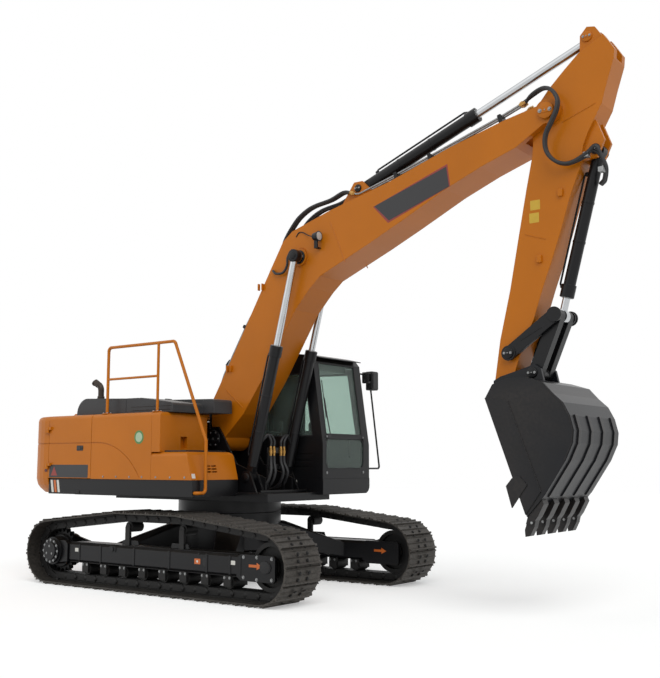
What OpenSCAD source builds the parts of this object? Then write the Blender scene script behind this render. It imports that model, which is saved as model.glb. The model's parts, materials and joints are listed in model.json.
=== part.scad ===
/* [Undercarriage] */
// distance between the centre lines of the two tracks
track_gauge = 2380; // [2300:10:2450]
// width of a track shoe
shoe_width = 600; // [550:10:640]
// distance from sprocket centre to idler centre
wheel_base = 3560; // [3400:10:3700]
// height of the sprocket and idler centres, also the outer radius of the track round them
wheel_z = 405; // [390:5:430]
// height of the top run's outer face
top_run_z = 945; // [930:5:970]
// carrier roller distance from the middle
carrier_x = 520; // [450:10:600]
// number of shoes in one track
shoe_count = 50; // [46:1:52]
// height of a grouser above its shoe plate
grouser_h = 26; // [20:1:30]
// thickness of a shoe plate
shoe_t = 12; // [10:1:16]
// height of the chain under the shoe
chain_h = 98; // [90:1:104]
// width of the chain
chain_w = 210; // [180:5:240]
// top of the side frame
side_frame_top = 522; // [500:1:540]
// bottom of the side frame
side_frame_bottom = 285; // [270:1:300]
// width of the side frame
side_frame_w = 300; // [280:10:340]
// distance from the swing axis to the side frame's front end
side_frame_front = 1410; // [1380:5:1440]
// distance from the swing axis to the side frame's rear end
side_frame_rear = 1500; // [1460:5:1540]
// thickness of the plates that hold the idler and the final drive
cover_t = 35; // [30:1:38]
// length of the idler's cover plate beyond the idler's centre
cover_reach = 115; // [100:5:130]
// radius of the bottom rollers
roller_r = 70; // [66:1:72]
// number of bottom rollers on a side
roller_count = 8; // [7:1:8]
// radius of the carrier rollers
carrier_r = 62; // [55:1:70]
// radius of the final drive's cover
hub_r = 172; // [160:1:180]
// how far the final drive's cover reaches out from the track's centre line
hub_reach = 243; // [230:1:255]
// number of teeth on a sprocket
tooth_count = 21; // [19:1:23]
// depth of a sprocket's teeth
tooth_h = 34; // [28:1:40]
// top of the middle frame, where the swing bearing sits
centre_top = 900; // [880:5:920]
// ground clearance under the middle frame
ground_clearance = 455; // [440:5:480]
// radius of the swing bearing
bearing_r = 655; // [630:5:680]
// height of a leg of the middle frame at the bearing
leg_h = 300; // [280:5:320]
// thickness of a towing plate
tow_t = 50; // [40:2:60]
// radius of the hole in each towing plate
tow_hole_r = 27.5; // [25:0.5:32]
// distance of the towing hole from the bearing's edge
tow_reach = 90; // [80:2:100]

/* [Upper Structure] */
// width over the side panels
upper_w = 2708; // [2650:2:2760]
// bottom of the painted side panels
panel_bottom = 1315; // [1300:5:1330]
// bottom of the black skirt
skirt_bottom = 1120; // [1110:5:1130]
// how far the black skirt stands in from the side panels
skirt_in = 20; // [16:1:26]
// bottom of the main frame
frame_bottom = 1055; // [1040:5:1070]
// thickness of the frame's plates
plate_t = 30; // [24:1:36]
// top of the side panels
panel_top = 2120; // [2080:5:2150]
// radius of the rounded edge along the top of the panels
lip_r = 50; // [40:2:60]
// front face of the counterweight
cw_front = -1967; // [-2000:1:-1940]
// corner radius of the counterweight
cw_corner = 700; // [600:10:750]
// bottom of the counterweight
cw_bottom = 1130; // [1120:2:1140]
// height of the pressed groove round the body
groove_z = 1763; // [1740:1:1780]
// depth of the pressed groove
groove_d = 6; // [4:1:8]
// width of the pressed groove
groove_w = 12; // [8:1:16]
// pump door's front edge
door_front = -1120; // [-1150:1:-1090]
// half the gap at a door's free edge
door_gap = 4; // [4:0.5:6]
// side panel's front edge, where the fuel tank starts
tank_rear = -25; // [-60:5:0]
// front of the fuel tank
tank_front = 120; // [100:5:160]
// inner side of the fuel tank, from the middle
tank_in = 565; // [540:5:600]
// radius of the fuel tank's edges
tank_round = 50; // [40:2:56]
// size of the step hole in the fuel tank's front
step_w = 112; // [100:2:130]
// front of the tool box
box_front = 650; // [620:5:680]
// top of the tool box
box_top = 1642; // [1600:2:1680]
// how far the tool box's front leans back
box_lean = 75; // [60:5:90]
// radius of the tool box's edges
box_edge = 60; // [50:2:70]
// top of the engine hood at its hinge
hood_top = 2310; // [2290:5:2330]
// rise of the hood from its hinge to its rear
hood_rise = 27; // [20:1:34]
// rear end of the hood
hood_rear = -1605; // [-1640:5:-1580]
// radius of the hood's rear edge
hood_edge = 200; // [180:5:220]
// line of the hood's hinge
hood_hinge_x = -658; // [-680:2:-640]
// inset of the hood from the side panels
hood_inset = 150; // [120:5:180]
// thickness of sheet panels
sheet_t = 30; // [20:1:40]
// top of the handrail
rail_top = 2952; // [2880:4:3000]
// sideways place of the handrail
rail_y = -1294; // [-1304:2:-1284]
// height of the handrail's middle bar
rail_mid = 2552; // [2500:4:2600]
// radius of the handrail tube
rail_r = 19; // [16:1:22]
// radius of the exhaust tube
pipe_r = 38; // [32:1:42]

/* [Cab] */
// width of the cab
cab_w = 1009; // [1000:1:1010]
// front of the cab at its foot
cab_front = 1240; // [1220:1:1260]
// back of the cab
cab_rear = -430; // [-450:5:-400]
// top of the cab
cab_top = 2907; // [2880:1:2940]
// thickness of the cab's walls and door
cab_t = 50; // [40:1:60]
// thickness of the cab's glass
glass_t = 8; // [6:1:10]
// bottom of the cab's lower front pane
pane_bottom = 1436; // [1420:2:1460]
// middle of the bar between the two front panes
bar_z = 1848; // [1830:2:1870]
// height of the bar between the two front panes
bar_h = 44; // [36:2:60]
// top of the upper front pane
pane_top = 2790; // [2770:2:2800]
// corner radius of the lower front pane
pane_r = 90; // [70:5:110]
// radius of the mirror's tube
mirror_r = 12; // [10:1:14]

/* [Working Gear] */
// sideways place of the boom's middle plane
boom_y = -80; // [-90:1:-78]
// boom foot pin, forward of the swing axis
foot_x = 40; // [20:5:80]
// boom foot pin height
foot_z = 1815; // [1790:5:1840]
// boom tip pin, forward of the foot pin
tip_dx = 4600; // [4560:5:4640]
// boom tip pin, above the foot pin
tip_dz = 3300; // [3260:5:3340]
// width of the boom
boom_w = 460; // [440:2:470]
// boom cylinder pin on the boom, forward of the foot pin
eye_dx = 1360; // [1350:5:1370]
// boom cylinder pin on the boom, above the foot pin
eye_dz = 2173; // [2160:1:2190]
// boom cylinder pin on the frame, forward of the swing axis
ram_foot_x = 715; // [700:5:730]
// boom cylinder pin on the frame, height
ram_foot_z = 1335; // [1325:5:1345]
// distance of each boom cylinder from the boom's middle plane
ram_y = 340; // [336:1:342]
// radius of a boom cylinder's barrel
ram_r = 66; // [62:1:67]
// radius of the arm cylinder's barrel
stick_r = 72; // [68:1:76]
// radius of the bucket cylinder's barrel
curl_r = 62; // [58:1:66]
// length of a boom cylinder's rod that shows at rest
ram_show = 1110; // [1090:5:1130]
// length of the arm cylinder's rod that shows at rest
stick_show = 1422; // [1410:2:1440]
// length of the bucket cylinder's rod that shows at rest
curl_show = 200; // [190:2:220]
// length of a boom cylinder's rod inside its barrel at rest
ram_lap = 600; // [580:5:605]
// length of the arm cylinder's rod inside its barrel at rest
stick_lap = 254; // [240:2:262]
// length of the bucket cylinder's rod inside its barrel at rest
curl_lap = 1265; // [1250:5:1290]
// length of the gland at a barrel's mouth
gland_l = 130; // [110:5:140]
// how far the gland stands out from its barrel
gland_t = 12; // [8:1:12]
// width of a boom cylinder's eyes
ram_w = 88; // [80:2:90]
// width of the arm cylinder's eyes
stick_w = 110; // [100:2:112]
// width of the bucket cylinder's base
curl_w = 100; // [90:2:100]
// radius of the pins in the boom's foot and the boom's tip
main_pin_r = 52; // [48:1:56]
// radius of the other pins of the working gear
pin_r = 40; // [36:1:42]
// width of the arm
arm_w = 300; // [290:2:320]
// width of the bucket
bucket_w = 1140; // [1100:10:1200]
// thickness of the bucket's sides and back
bucket_t = 26; // [22:1:30]
// number of teeth on the bucket
teeth = 5; // [4:1:6]
// gap at the sides of a moving piece
side_gap = 6; // [5:1:8]
// radius of a door hinge's knuckle
hinge_r = 16; // [14:1:20]
// height of a door hinge's knuckle
hinge_h = 40; // [30:5:60]
// radius of a door hinge's pin
hinge_pin_r = 8; // [6:1:10]
// how far a tube's straight runs reach into its bends
bend_lap = 4; // [3:1:5]
// gap between two faces that only rest on each other
seat_gap = 0.3; // [0.2:0.1:0.5]
// radial gap between a rod and its barrel
rod_fit = 0.05; // [0.02:0.01:0.1]
// radial running clearance of a pin
pin_fit = 0.05; // [0.02:0.01:0.1]

/* [Hidden] */
$fn = 48;
mid = upper_w / 2;
spigot_r = bearing_r - 200;
// pins of the working gear as [forward, up]
foot = [foot_x, foot_z];
tip = foot + [tip_dx, tip_dz];
// the working gear's outlines are drawn for this length from foot pin to tip pin
drawn_l = 5661.3;
gear = norm(tip - foot) / drawn_l;
eye = foot + [eye_dx, eye_dz];
ram_foot = [ram_foot_x, ram_foot_z];
stick_base = tip + gear * [-2480, -362];
stick_eye = tip + gear * [415, 735];
curl_base = tip + gear * [463, -465];
link_arm = tip + gear * [-504, -2479];
link_top = tip + gear * [9, -2119];
link_bucket = tip + gear * [-248, -2695];
bucket_pin = tip + gear * [-605, -2845];
// how wide a share of its barrel a cylinder's rod is
rod_share = 0.62;
// track loop: path of the shoe plates' outer face, round the sprocket and idler at +-a
a = wheel_base / 2;
rb = wheel_z - grouser_h;
zt = top_run_z - grouser_h;
tan_d = norm([carrier_x - a, zt - wheel_z]);
tan_a = atan2(zt - wheel_z, carrier_x - a) - acos(rb / tan_d);
run_l = sqrt(tan_d * tan_d - rb * rb);
arc_l = rb * (90 + tan_a) * PI / 180;
s1 = 2 * a;
s2 = s1 + arc_l;
s3 = s2 + run_l;
s4 = s3 + 2 * carrier_x;
s5 = s4 + run_l;
s6 = s5 + arc_l;
pitch = s6 / shoe_count;
function lerp(p, q, t) = p + (q - p) * t;
function on_wheel(x, t, r) = [x + r * cos(t), wheel_z + r * sin(t)];
function run_end(side, h) = [side * carrier_x, zt] + h * [side * cos(tan_a), sin(tan_a)];
// a point of the loop at the length s along it, h outside the shoe plates
function track_at(s, h) =
    s < s1 ? [-a + s, wheel_z - rb - h] :
    s < s2 ? on_wheel(a, -90 + (s - s1) / rb * 180 / PI, rb + h) :
    s < s3 ? lerp(on_wheel(a, tan_a, rb + h), run_end(1, h), (s - s2) / run_l) :
    s < s4 ? [carrier_x - (s - s3), zt + h] :
    s < s5 ? lerp(run_end(-1, h), on_wheel(-a, 180 - tan_a, rb + h), (s - s4) / run_l) :
    on_wheel(-a, 180 - tan_a + (s - s5) / rb * 180 / PI, rb + h);
// one shoe's outline as [part of the pitch, part of the grouser's height]
shoe_shape = [
    [0.02, 0], [0.06, 1], [0.12, 1], [0.2, 0.1], [0.46, 0.1],
    [0.5, 0.8], [0.56, 0.1], [0.82, 0.1], [0.9, 0.8], [0.97, 0]
];
// flats of the chain's inside round a wheel
arc_n = 12;
loop_s = concat(
    [0],
    [for (i = [0:arc_n]) s1 + arc_l * i / arc_n],
    [s3 - 1, s4 - 1],
    [for (i = [0:arc_n - 1]) s5 + arc_l * i / arc_n]
);
function loop_at(h) = [for (s = loop_s) track_at(s, h)];
function shoe_line() =
    [for (i = [0:shoe_count - 1]) for (q = shoe_shape) track_at((i + q[0]) * pitch, q[1] * grouser_h)];
function ring_paths(n, m) = [[for (i = [0:n - 1]) i], [for (i = [0:m - 1]) n + i]];
// points along an arc round c, in n steps
function arc(c, r, from, to, n = 6) =
    [for (i = [0:n]) let (t = lerp(from, to, i / n)) c + r * [cos(t), sin(t)]];
// a closed outline moved inward by t, where its points run counterclockwise
function inset(p, t) =
    let (n = len(p))
    [for (i = [0:n - 1])
        let (
            u = (p[i] - p[(i + n - 1) % n]) / norm(p[i] - p[(i + n - 1) % n]),
            v = (p[(i + 1) % n] - p[i]) / norm(p[(i + 1) % n] - p[i])
        )
        p[i] + t * [-u[1] - v[1], u[0] + v[0]] / (1 + u * v)];

// a plan drawn in X and Z, given thickness from y0 to y1
module slab(y0, y1) {
    translate([0, y1, 0])
        rotate([90, 0, 0])
            linear_extrude(height = y1 - y0)
                children();
}
// two slabs of thickness t, their middles at y on both sides of the plane y = c
module pair(c, y, t) {
    for (s = [-1, 1])
        slab(c + s * y - t / 2, c + s * y + t / 2)
            children();
}
// an outline drawn in Y and Z, run along X from x0 to x1
module run_x(x0, x1) {
    translate([x0, 0, 0])
        rotate([90, 0, 90])
            linear_extrude(height = x1 - x0)
                children();
}
// a round bar along Y
module bar(p, r, y0, y1) {
    translate([p[0], y1, p[1]])
        rotate([90, 0, 0])
            cylinder(r = r, h = y1 - y0);
}
// a box from corner to corner
module block(p, q) {
    translate(p)
        cube(q - p);
}
// a round rod from p to q
module rod(p, q, r) {
    v = q - p;
    translate(p)
        rotate([0, acos(v[2] / norm(v)), atan2(v[1], v[0])])
            cylinder(r = r, h = norm(v));
}
// places children along the line from p to q in the X Z plane at y, their Z axis on that line
module along(p, q, y) {
    v = q - p;
    translate([p[0], y, p[1]])
        rotate([0, atan2(v[0], v[1]), 0])
            children();
}
// a bent round tube through points, its bends of the given radius and a little thicker
module tube(points, r, bend) {
    n = len(points);
    dirs = [for (i = [0:n - 2]) (points[i + 1] - points[i]) / norm(points[i + 1] - points[i])];
    turns = [for (i = [0:n - 1]) i == 0 || i == n - 1 ? 0 : acos(dirs[i - 1] * dirs[i])];
    cut = [for (t = turns) bend * tan(t / 2)];
    for (i = [0:n - 2])
        rod(
            points[i] + dirs[i] * max(0, cut[i] - bend_lap),
            points[i + 1] - dirs[i] * max(0, cut[i + 1] - bend_lap),
            r
        );
    for (i = [1:n - 2]) {
        start = points[i] - dirs[i - 1] * cut[i];
        side = (dirs[i] - dirs[i - 1] * cos(turns[i])) / sin(turns[i]);
        centre = start + side * bend;
        up = cross(-side, dirs[i - 1]);
        multmatrix([for (k = [0:2]) [-side[k], dirs[i - 1][k], up[k], centre[k]]])
            rotate_extrude(angle = turns[i])
                translate([bend, 0])
                    circle(r = r + 1);
    }
}
// hinge knuckles of a door: fixed ones with their pins below, the door's own above
module hinge_fixed(x, y, z) {
    translate([x, y, z]) {
        cylinder(r = hinge_r, h = hinge_h);
        cylinder(r = hinge_pin_r, h = 2 * hinge_h);
    }
}
module hinge_leaf(x, y, z) {
    translate([x, y, z + hinge_h + seat_gap])
        difference() {
            cylinder(r = hinge_r, h = hinge_h);
            translate([0, 0, -1])
                cylinder(r = hinge_pin_r + pin_fit, h = hinge_h + 2);
        }
}

// outer side of a side frame, and how wide its bevels are
side_frame_y = track_gauge / 2 + side_frame_w / 2;
frame_bevel = 28;
module side_frame_plan() {
    y0 = side_frame_y - side_frame_w;
    y1 = side_frame_y;
    z0 = side_frame_bottom;
    z1 = side_frame_top;
    b = frame_bevel;
    polygon([
        [y0 + b, z0], [y1 - b, z0], [y1, z0 + b], [y1, z1 - b],
        [y1 - b, z1], [y0 + b, z1], [y0, z1 - b], [y0, z0 + b]
    ]);
}
module track_frame() {
    leg_foot = frame_bevel + 4;
    plate_top = side_frame_top + 8;
    plate_bottom = side_frame_bottom - 38;
    inner_y = track_gauge / 2 - side_frame_w / 2;
    tow_z = ground_clearance + 85;
    color("#1B1B1E") {
        for (s = [-1, 1]) {
            mirror([0, s > 0 ? 0 : 1, 0]) {
                run_x(-side_frame_rear, side_frame_front)
                    side_frame_plan();
                // plates beside the idler, with the bosses of its axle
                pair(track_gauge / 2, side_frame_w / 2 - cover_t / 2, cover_t)
                    polygon([
                        [side_frame_front - 60, plate_bottom + 40], [side_frame_front, plate_bottom],
                        [a + cover_reach - 25, plate_bottom], [a + cover_reach, plate_bottom + 25],
                        [a + cover_reach, plate_top - 25], [a + cover_reach - 25, plate_top],
                        [side_frame_front, plate_top], [side_frame_front - 60, plate_top - 40]
                    ]);
                bar([a, wheel_z], 62, side_frame_y - 1, side_frame_y + 8);
                // inner plate that carries the final drive
                slab(inner_y, inner_y + cover_t)
                    polygon([
                        [-side_frame_rear + 60, side_frame_bottom], [-side_frame_rear + 60, side_frame_top],
                        [-a, wheel_z + 190], [-a, wheel_z - 190]
                    ]);
                bar([-a, wheel_z], 200, inner_y, inner_y + cover_t);
            }
        }
        difference() {
            translate([0, 0, ground_clearance])
                cylinder(r = bearing_r, h = centre_top - ground_clearance);
            translate([0, 0, centre_top - 80])
                cylinder(r = spigot_r + pin_fit, h = 100);
        }
        // towing plates with their upright holes
        for (s = [-1, 1])
            difference() {
                rotate([0, 0, s > 0 ? 0 : 180])
                    block([bearing_r - 60, -90, tow_z], [bearing_r + 2 * tow_reach, 90, tow_z + tow_t]);
                translate([s * (bearing_r + tow_reach), 0, ground_clearance])
                    cylinder(r = tow_hole_r, h = 200);
            }
        // legs from the bearing out to the side frames
        for (sx = [-1, 1])
            for (sy = [-1, 1])
                hull() {
                    translate([sx * 380, sy * 380, ground_clearance + 20])
                        cylinder(r = 170, h = leg_h);
                    translate([sx * 880 - 170, sy * inner_y - 1, side_frame_bottom + leg_foot])
                        cube([340, 2, side_frame_top - side_frame_bottom - 2 * leg_foot]);
                }
    }
}
module track_loop(s) {
    shoe = shoe_line();
    inner = loop_at(-shoe_t);
    slab(s * track_gauge / 2 - shoe_width / 2, s * track_gauge / 2 + shoe_width / 2)
        polygon(concat(shoe, inner), ring_paths(len(shoe), len(inner)));
}
module track_right() {
    color("#3A3531")
        track_loop(-1);
}
module track_left() {
    color("#3A3531")
        track_loop(1);
}
module track_chains() {
    outer = loop_at(-shoe_t);
    inner = loop_at(-shoe_t - chain_h);
    color("#2A2522")
        for (s = [-1, 1])
            slab(s * track_gauge / 2 - chain_w / 2, s * track_gauge / 2 + chain_w / 2)
                polygon(concat(outer, inner), ring_paths(len(outer), len(inner)));
}
// the chain's inside is a row of flats, which the wheels and rollers stand off by seat_gap
wheel_r = (rb - shoe_t - chain_h) * cos((90 + tan_a) / arc_n / 2) - seat_gap;
roller_z = wheel_z - rb + shoe_t + chain_h + roller_r + seat_gap;
module sprockets() {
    // one tooth as [part of its pitch, part of its depth]
    tooth = [[0, 0], [0.2, 0], [0.38, 1], [0.62, 1], [0.8, 0]];
    drive_in = track_gauge / 2 - side_frame_w / 2 + cover_t;
    color("#1B1B1E")
        for (s = [-1, 1])
            mirror([0, s > 0 ? 0 : 1, 0]) {
                slab(track_gauge / 2 - 35, track_gauge / 2 + 35)
                    polygon([
                        for (i = [0:tooth_count - 1])
                            for (q = tooth)
                                on_wheel(-a, (i + q[0]) * 360 / tooth_count, wheel_r - tooth_h * (1 - q[1]))
                    ]);
                bar([-a, wheel_z], hub_r + 30, drive_in, track_gauge / 2 + 60);
                bar([-a, wheel_z], hub_r, drive_in, track_gauge / 2 + hub_reach - 50);
                bar([-a, wheel_z], hub_r - 22, drive_in, track_gauge / 2 + hub_reach - 18);
                bar([-a, wheel_z], hub_r - 62, drive_in, track_gauge / 2 + hub_reach);
            }
}
module idlers() {
    color("#2A2522")
        for (s = [-1, 1]) {
            y = s * track_gauge / 2;
            difference() {
                bar([a, wheel_z], wheel_r, y - 75, y + 75);
                // dished sides
                for (t = [-1, 1])
                    difference() {
                        bar([a, wheel_z], wheel_r - 50, y + t * 75 - 40, y + t * 75 + 40);
                        bar([a, wheel_z], 110, y - 120, y + 120);
                    }
            }
            bar([a, wheel_z], 60, y - side_frame_w / 2 + cover_t, y + side_frame_w / 2 - cover_t);
        }
}
module rollers() {
    first = -side_frame_rear + 300;
    last = side_frame_front - 210;
    color("#2A2522")
        for (s = [-1, 1]) {
            y = s * track_gauge / 2;
            for (i = [0:roller_count - 1]) {
                x = lerp(first, last, i / (roller_count - 1));
                bar([x, roller_z], roller_r, y - 100, y + 100);
                for (t = [-1, 1])
                    block(
                        [x - 55, y + t * 118 - 20, roller_z - 42],
                        [x + 55, y + t * 118 + 20, side_frame_bottom]
                    );
            }
            for (x = [-carrier_x + 60, carrier_x - 60]) {
                carrier_z = zt - shoe_t - chain_h - carrier_r - seat_gap;
                bar([x, carrier_z], carrier_r, y - 90, y + 90);
                bar([x, carrier_z], carrier_r - 22, y - 112, y + 112);
                block([x - 38, y - 118, side_frame_top], [x + 38, y - 85, carrier_z]);
            }
        }
}

boom_side = boom_w / 2 + side_gap + plate_t / 2;
// inner side of the covers on the right, clear of the plates beside the boom's foot
boom_right = boom_y - boom_side - plate_t / 2 - 30;
module upper_frame() {
    deck_top = skirt_bottom + plate_t + 10;
    cab_in = mid - cab_w;
    ram_plate = 24;
    color("#1B1B1E") {
        // ring that turns on the bearing, and the spigot in it
        translate([0, 0, centre_top + side_gap])
            cylinder(r = bearing_r, h = frame_bottom - centre_top - side_gap);
        translate([0, 0, centre_top - 70])
            cylinder(r = spigot_r, h = 100);
        block([-1500, -tank_in - 35, frame_bottom], [1150, tank_in + 35, deck_top - 10]);
        block([cw_front, -mid + 60, skirt_bottom], [box_front - 2, mid - 60, deck_top]);
        block([box_front - 3, -tank_in, skirt_bottom], [1000, mid - 60, deck_top]);
        // plates beside the boom's foot, with its pin
        pair(boom_y, boom_side, plate_t)
            polygon([
                [cw_front, skirt_bottom], [900, skirt_bottom], [900, 1330], [420, 1500],
                foot + [130, 60], foot + [60, 150], foot + [-60, 150], foot + [-130, 60],
                [-400, 1500], [-900, 1400], [cw_front, 1400]
            ]);
        bar(foot, main_pin_r, boom_y - boom_side - plate_t, boom_y + boom_side + plate_t);
        // plates that hold the boom cylinders' feet, with their pins
        for (s = [-1, 1]) {
            y = boom_y + s * ram_y;
            pair(y, ram_r - 4, ram_plate)
                polygon([
                    [520, skirt_bottom], [900, skirt_bottom], ram_foot + [90, 0],
                    ram_foot + [50, 75], ram_foot + [-50, 75], ram_foot + [-90, 0]
                ]);
            bar(ram_foot, pin_r, y - ram_r - 8, y + ram_r + 8);
        }
        // deck under the cab, rounded along its outer edge
        run_x(cab_rear - 20, cab_front + 5)
            polygon(concat(
                [[cab_in, skirt_bottom]],
                arc([mid - 95, skirt_bottom + 95], 95, -90, 0),
                [[mid, panel_bottom], [cab_in, panel_bottom]]
            ));
        // skirts under the side panels
        block([cw_front, -mid + skirt_in, skirt_bottom], [box_front - 2, -mid + skirt_in + 50, panel_bottom]);
        block([box_front - 52, -mid + skirt_in, skirt_bottom], [box_front - 2, -tank_in, panel_bottom]);
        block([cw_front, mid - skirt_in - 50, skirt_bottom], [cab_rear - 20, mid - skirt_in, panel_bottom]);
    }
}
// the counterweight's outline from above, moved inward by g
function cw_line(g) =
    let (
        c = [cw_front, -mid + cw_corner],
        r = cw_corner - g,
        big = norm(c) + r,
        to = atan2(c[1], c[0])
    )
    concat(
        [[cw_front, -mid + g]],
        [for (i = [1:8]) let (t = lerp(-90, to, i / 8)) c + r * [cos(t), sin(t)]],
        [for (i = [1:15]) let (t = lerp(to, -360 - to, i / 16)) big * [cos(t), sin(t)]],
        [for (i = [8:-1:1]) let (t = lerp(-90, to, i / 8)) [c[0] + r * cos(t), -c[1] - r * sin(t)]],
        [[cw_front, mid - g]]
    );
module cw_layers(table) {
    hull()
        for (q = table)
            translate([0, 0, q[0]])
                linear_extrude(height = 1)
                    cw_line_plan(q[1]);
}
module cw_line_plan(g) {
    polygon(cw_line(g));
}
door_hinges = [panel_bottom + 120, panel_top - 220];
module counterweight() {
    // its sides as [height, how far in they stand]
    low = [for (q = [[0, 120], [24, 90], [60, 52], [101, 21], [178, 0]]) [cw_bottom + q[0], q[1]]];
    high = [for (q = [[62, 0], [35, 7], [14, 20], [4, 38], [1, 62]]) [panel_top - q[0], q[1]]];
    color("#C07421") {
        cw_layers(concat(low, [[groove_z - groove_w / 2 - 1, 0]]));
        translate([0, 0, groove_z - groove_w])
            linear_extrude(height = 2 * groove_w)
                cw_line_plan(groove_d);
        cw_layers(concat([[groove_z + groove_w / 2, 0]], high));
        for (z = door_hinges)
            for (s = [-1, 1]) {
                hinge_fixed(cw_front, s * (mid + hinge_r + 2), z);
                block(
                    [cw_front - 60, s > 0 ? mid - 1 : -mid - hinge_r - 10, z],
                    [cw_front - hinge_r + 6, s > 0 ? mid + hinge_r + 10 : -mid + 1, z + hinge_h]
                );
            }
    }
}
// Y and Z outline of a side panel on the right, from the height z up, with its rounded top edge
module panel_plan(z) {
    polygon(concat(
        [[-mid, z]],
        arc([-mid + lip_r, panel_top - lip_r], lip_r, 180, 90),
        [[-mid + lip_r, panel_top - sheet_t], [-mid + sheet_t, panel_top - lip_r], [-mid + sheet_t, z]]
    ));
}
module groove_line(x0, x1) {
    run_x(x0, x1)
        translate([-mid - 1, groove_z - groove_w / 2])
            square([groove_d + 1, groove_w]);
}
// where the groove on the right panel turns down, and the radius of its bend
groove_turn = door_front + 128;
groove_bend = 900;
module right_panel() {
    color("#C07421")
        difference() {
            run_x(door_front + door_gap, tank_rear - 3)
                panel_plan(panel_bottom);
            groove_line(door_front, groove_turn);
            slab(-mid - 1, -mid + groove_d)
                polygon(concat(
                    arc([groove_turn, groove_z - groove_bend], groove_bend + groove_w / 2, 90, 32, 10),
                    arc([groove_turn, groove_z - groove_bend], groove_bend - groove_w / 2, 32, 90, 10)
                ));
        }
}
module left_panel() {
    color("#C07421")
        mirror([0, 1, 0])
            difference() {
                run_x(door_front + door_gap, cab_rear - 20)
                    panel_plan(panel_bottom);
                groove_line(door_front, cab_rear);
            }
}
// a door of the right side, hinged at the counterweight
module side_door() {
    difference() {
        run_x(cw_front + side_gap, door_front - door_gap)
            panel_plan(panel_bottom + side_gap);
        groove_line(cw_front, door_front);
    }
    for (z = door_hinges) {
        hinge_leaf(cw_front, -mid - hinge_r - 2, z);
        block(
            [cw_front + hinge_r - 6, -mid - hinge_r - 10, z + hinge_h + seat_gap],
            [cw_front + 60, -mid + 1, z + 2 * hinge_h + seat_gap]
        );
    }
}
module pump_door() {
    color("#C07421")
        side_door();
}
module left_door() {
    color("#C07421")
        mirror([0, 1, 0])
            difference() {
                side_door();
                // air slots of the cooler behind it
                for (column = [0, 1])
                    for (row = [0:5])
                        block(
                            [cw_front + 140 + column * 300, -mid - 5, panel_bottom + 110 + row * 50],
                            [cw_front + 380 + column * 300, -mid + sheet_t + 5, panel_bottom + 132 + row * 50]
                        );
            }
}
// top plate between the panels and the hood, open over the engine
module top_deck() {
    side = mid - lip_r;
    front = cab_rear - 20;
    wall = -mid + hood_inset + 40;
    color("#C07421")
        translate([0, 0, panel_top - sheet_t])
            linear_extrude(height = sheet_t)
                polygon(
                    [
                        [cw_front, -side + side_gap], [door_front, -side + side_gap], [door_front, -side],
                        [tank_rear - 3, -side], [tank_rear - 3, boom_right], [front, boom_right],
                        [front, side], [door_front, side], [door_front, side - side_gap],
                        [cw_front, side - side_gap], [hood_rear + 40, wall], [hood_hinge_x - 40, wall],
                        [hood_hinge_x - 40, -wall], [hood_rear + 40, -wall]
                    ],
                    [[0, 1, 2, 3, 4, 5, 6, 7, 8, 9], [10, 11, 12, 13]]
                );
}
// a box on the right side from X = rear, with a rounded edge round its top and its outer front corner
module side_block(rear, outline, bottom, top, radius) {
    intersection() {
        run_x(rear, rear + 1000)
            polygon(concat(
                [[-mid, bottom]],
                arc([-mid + radius, top - radius], radius, 180, 90),
                arc([-tank_in - radius, top - radius], radius, 90, 0),
                [[-tank_in, bottom]]
            ));
        slab(-mid - 1, -tank_in + 1)
            polygon(outline);
    }
}
module fuel_tank() {
    step_z = 1683;
    color("#C07421") {
        difference() {
            side_block(
                tank_rear,
                concat(
                    [[tank_rear, box_top], [tank_front, box_top]],
                    arc([tank_front - tank_round, panel_top - tank_round], tank_round, 0, 90),
                    [[tank_rear, panel_top]]
                ),
                box_top, panel_top, tank_round
            );
            // step hole in the middle of the front
            translate([0, -(mid + tank_in) / 2, 0])
                block([tank_front - 70, -step_w / 2, step_z], [tank_front + 1, step_w / 2, step_z + 143]);
        }
        // the tank's body behind the side panel, as [bottom, front]
        for (q = [[panel_bottom + 50, tank_rear - 5], [box_top + 20, tank_rear + 1]])
            block([-600, -mid + 2 * sheet_t, q[0]], [q[1], -tank_in, panel_top - 2 * sheet_t]);
    }
}
module tool_box() {
    lean_top = box_front - box_lean - box_edge;
    color("#C07421")
        difference() {
            side_block(
                tank_rear,
                concat(
                    [[tank_rear, panel_bottom], [box_front, panel_bottom]],
                    arc([lean_top, box_top - box_edge], box_edge, 12, 90),
                    [[tank_rear, box_top]]
                ),
                panel_bottom, box_top, box_edge
            );
            // vent slots in two columns
            for (column = [0, 1])
                for (row = [0:2])
                    block(
                        [box_front - box_lean, -1086 + column * 98, 1400 + row * 34],
                        [box_front + 1, -1000 + column * 98, 1416 + row * 34]
                    );
        }
}
// X and Z outline of the hood behind its hinge, moved inward by t
function hood_line(t) = inset(concat(
    [[hood_rear, panel_top - 1.1 * t], [hood_hinge_x - 3 + 1.1 * t, panel_top - 1.1 * t]],
    [[hood_hinge_x - 3 + 1.1 * t, hood_top]],
    arc([hood_rear + hood_edge, hood_top + hood_rise - hood_edge], hood_edge, 90, 180, 8)
), t);
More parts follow.
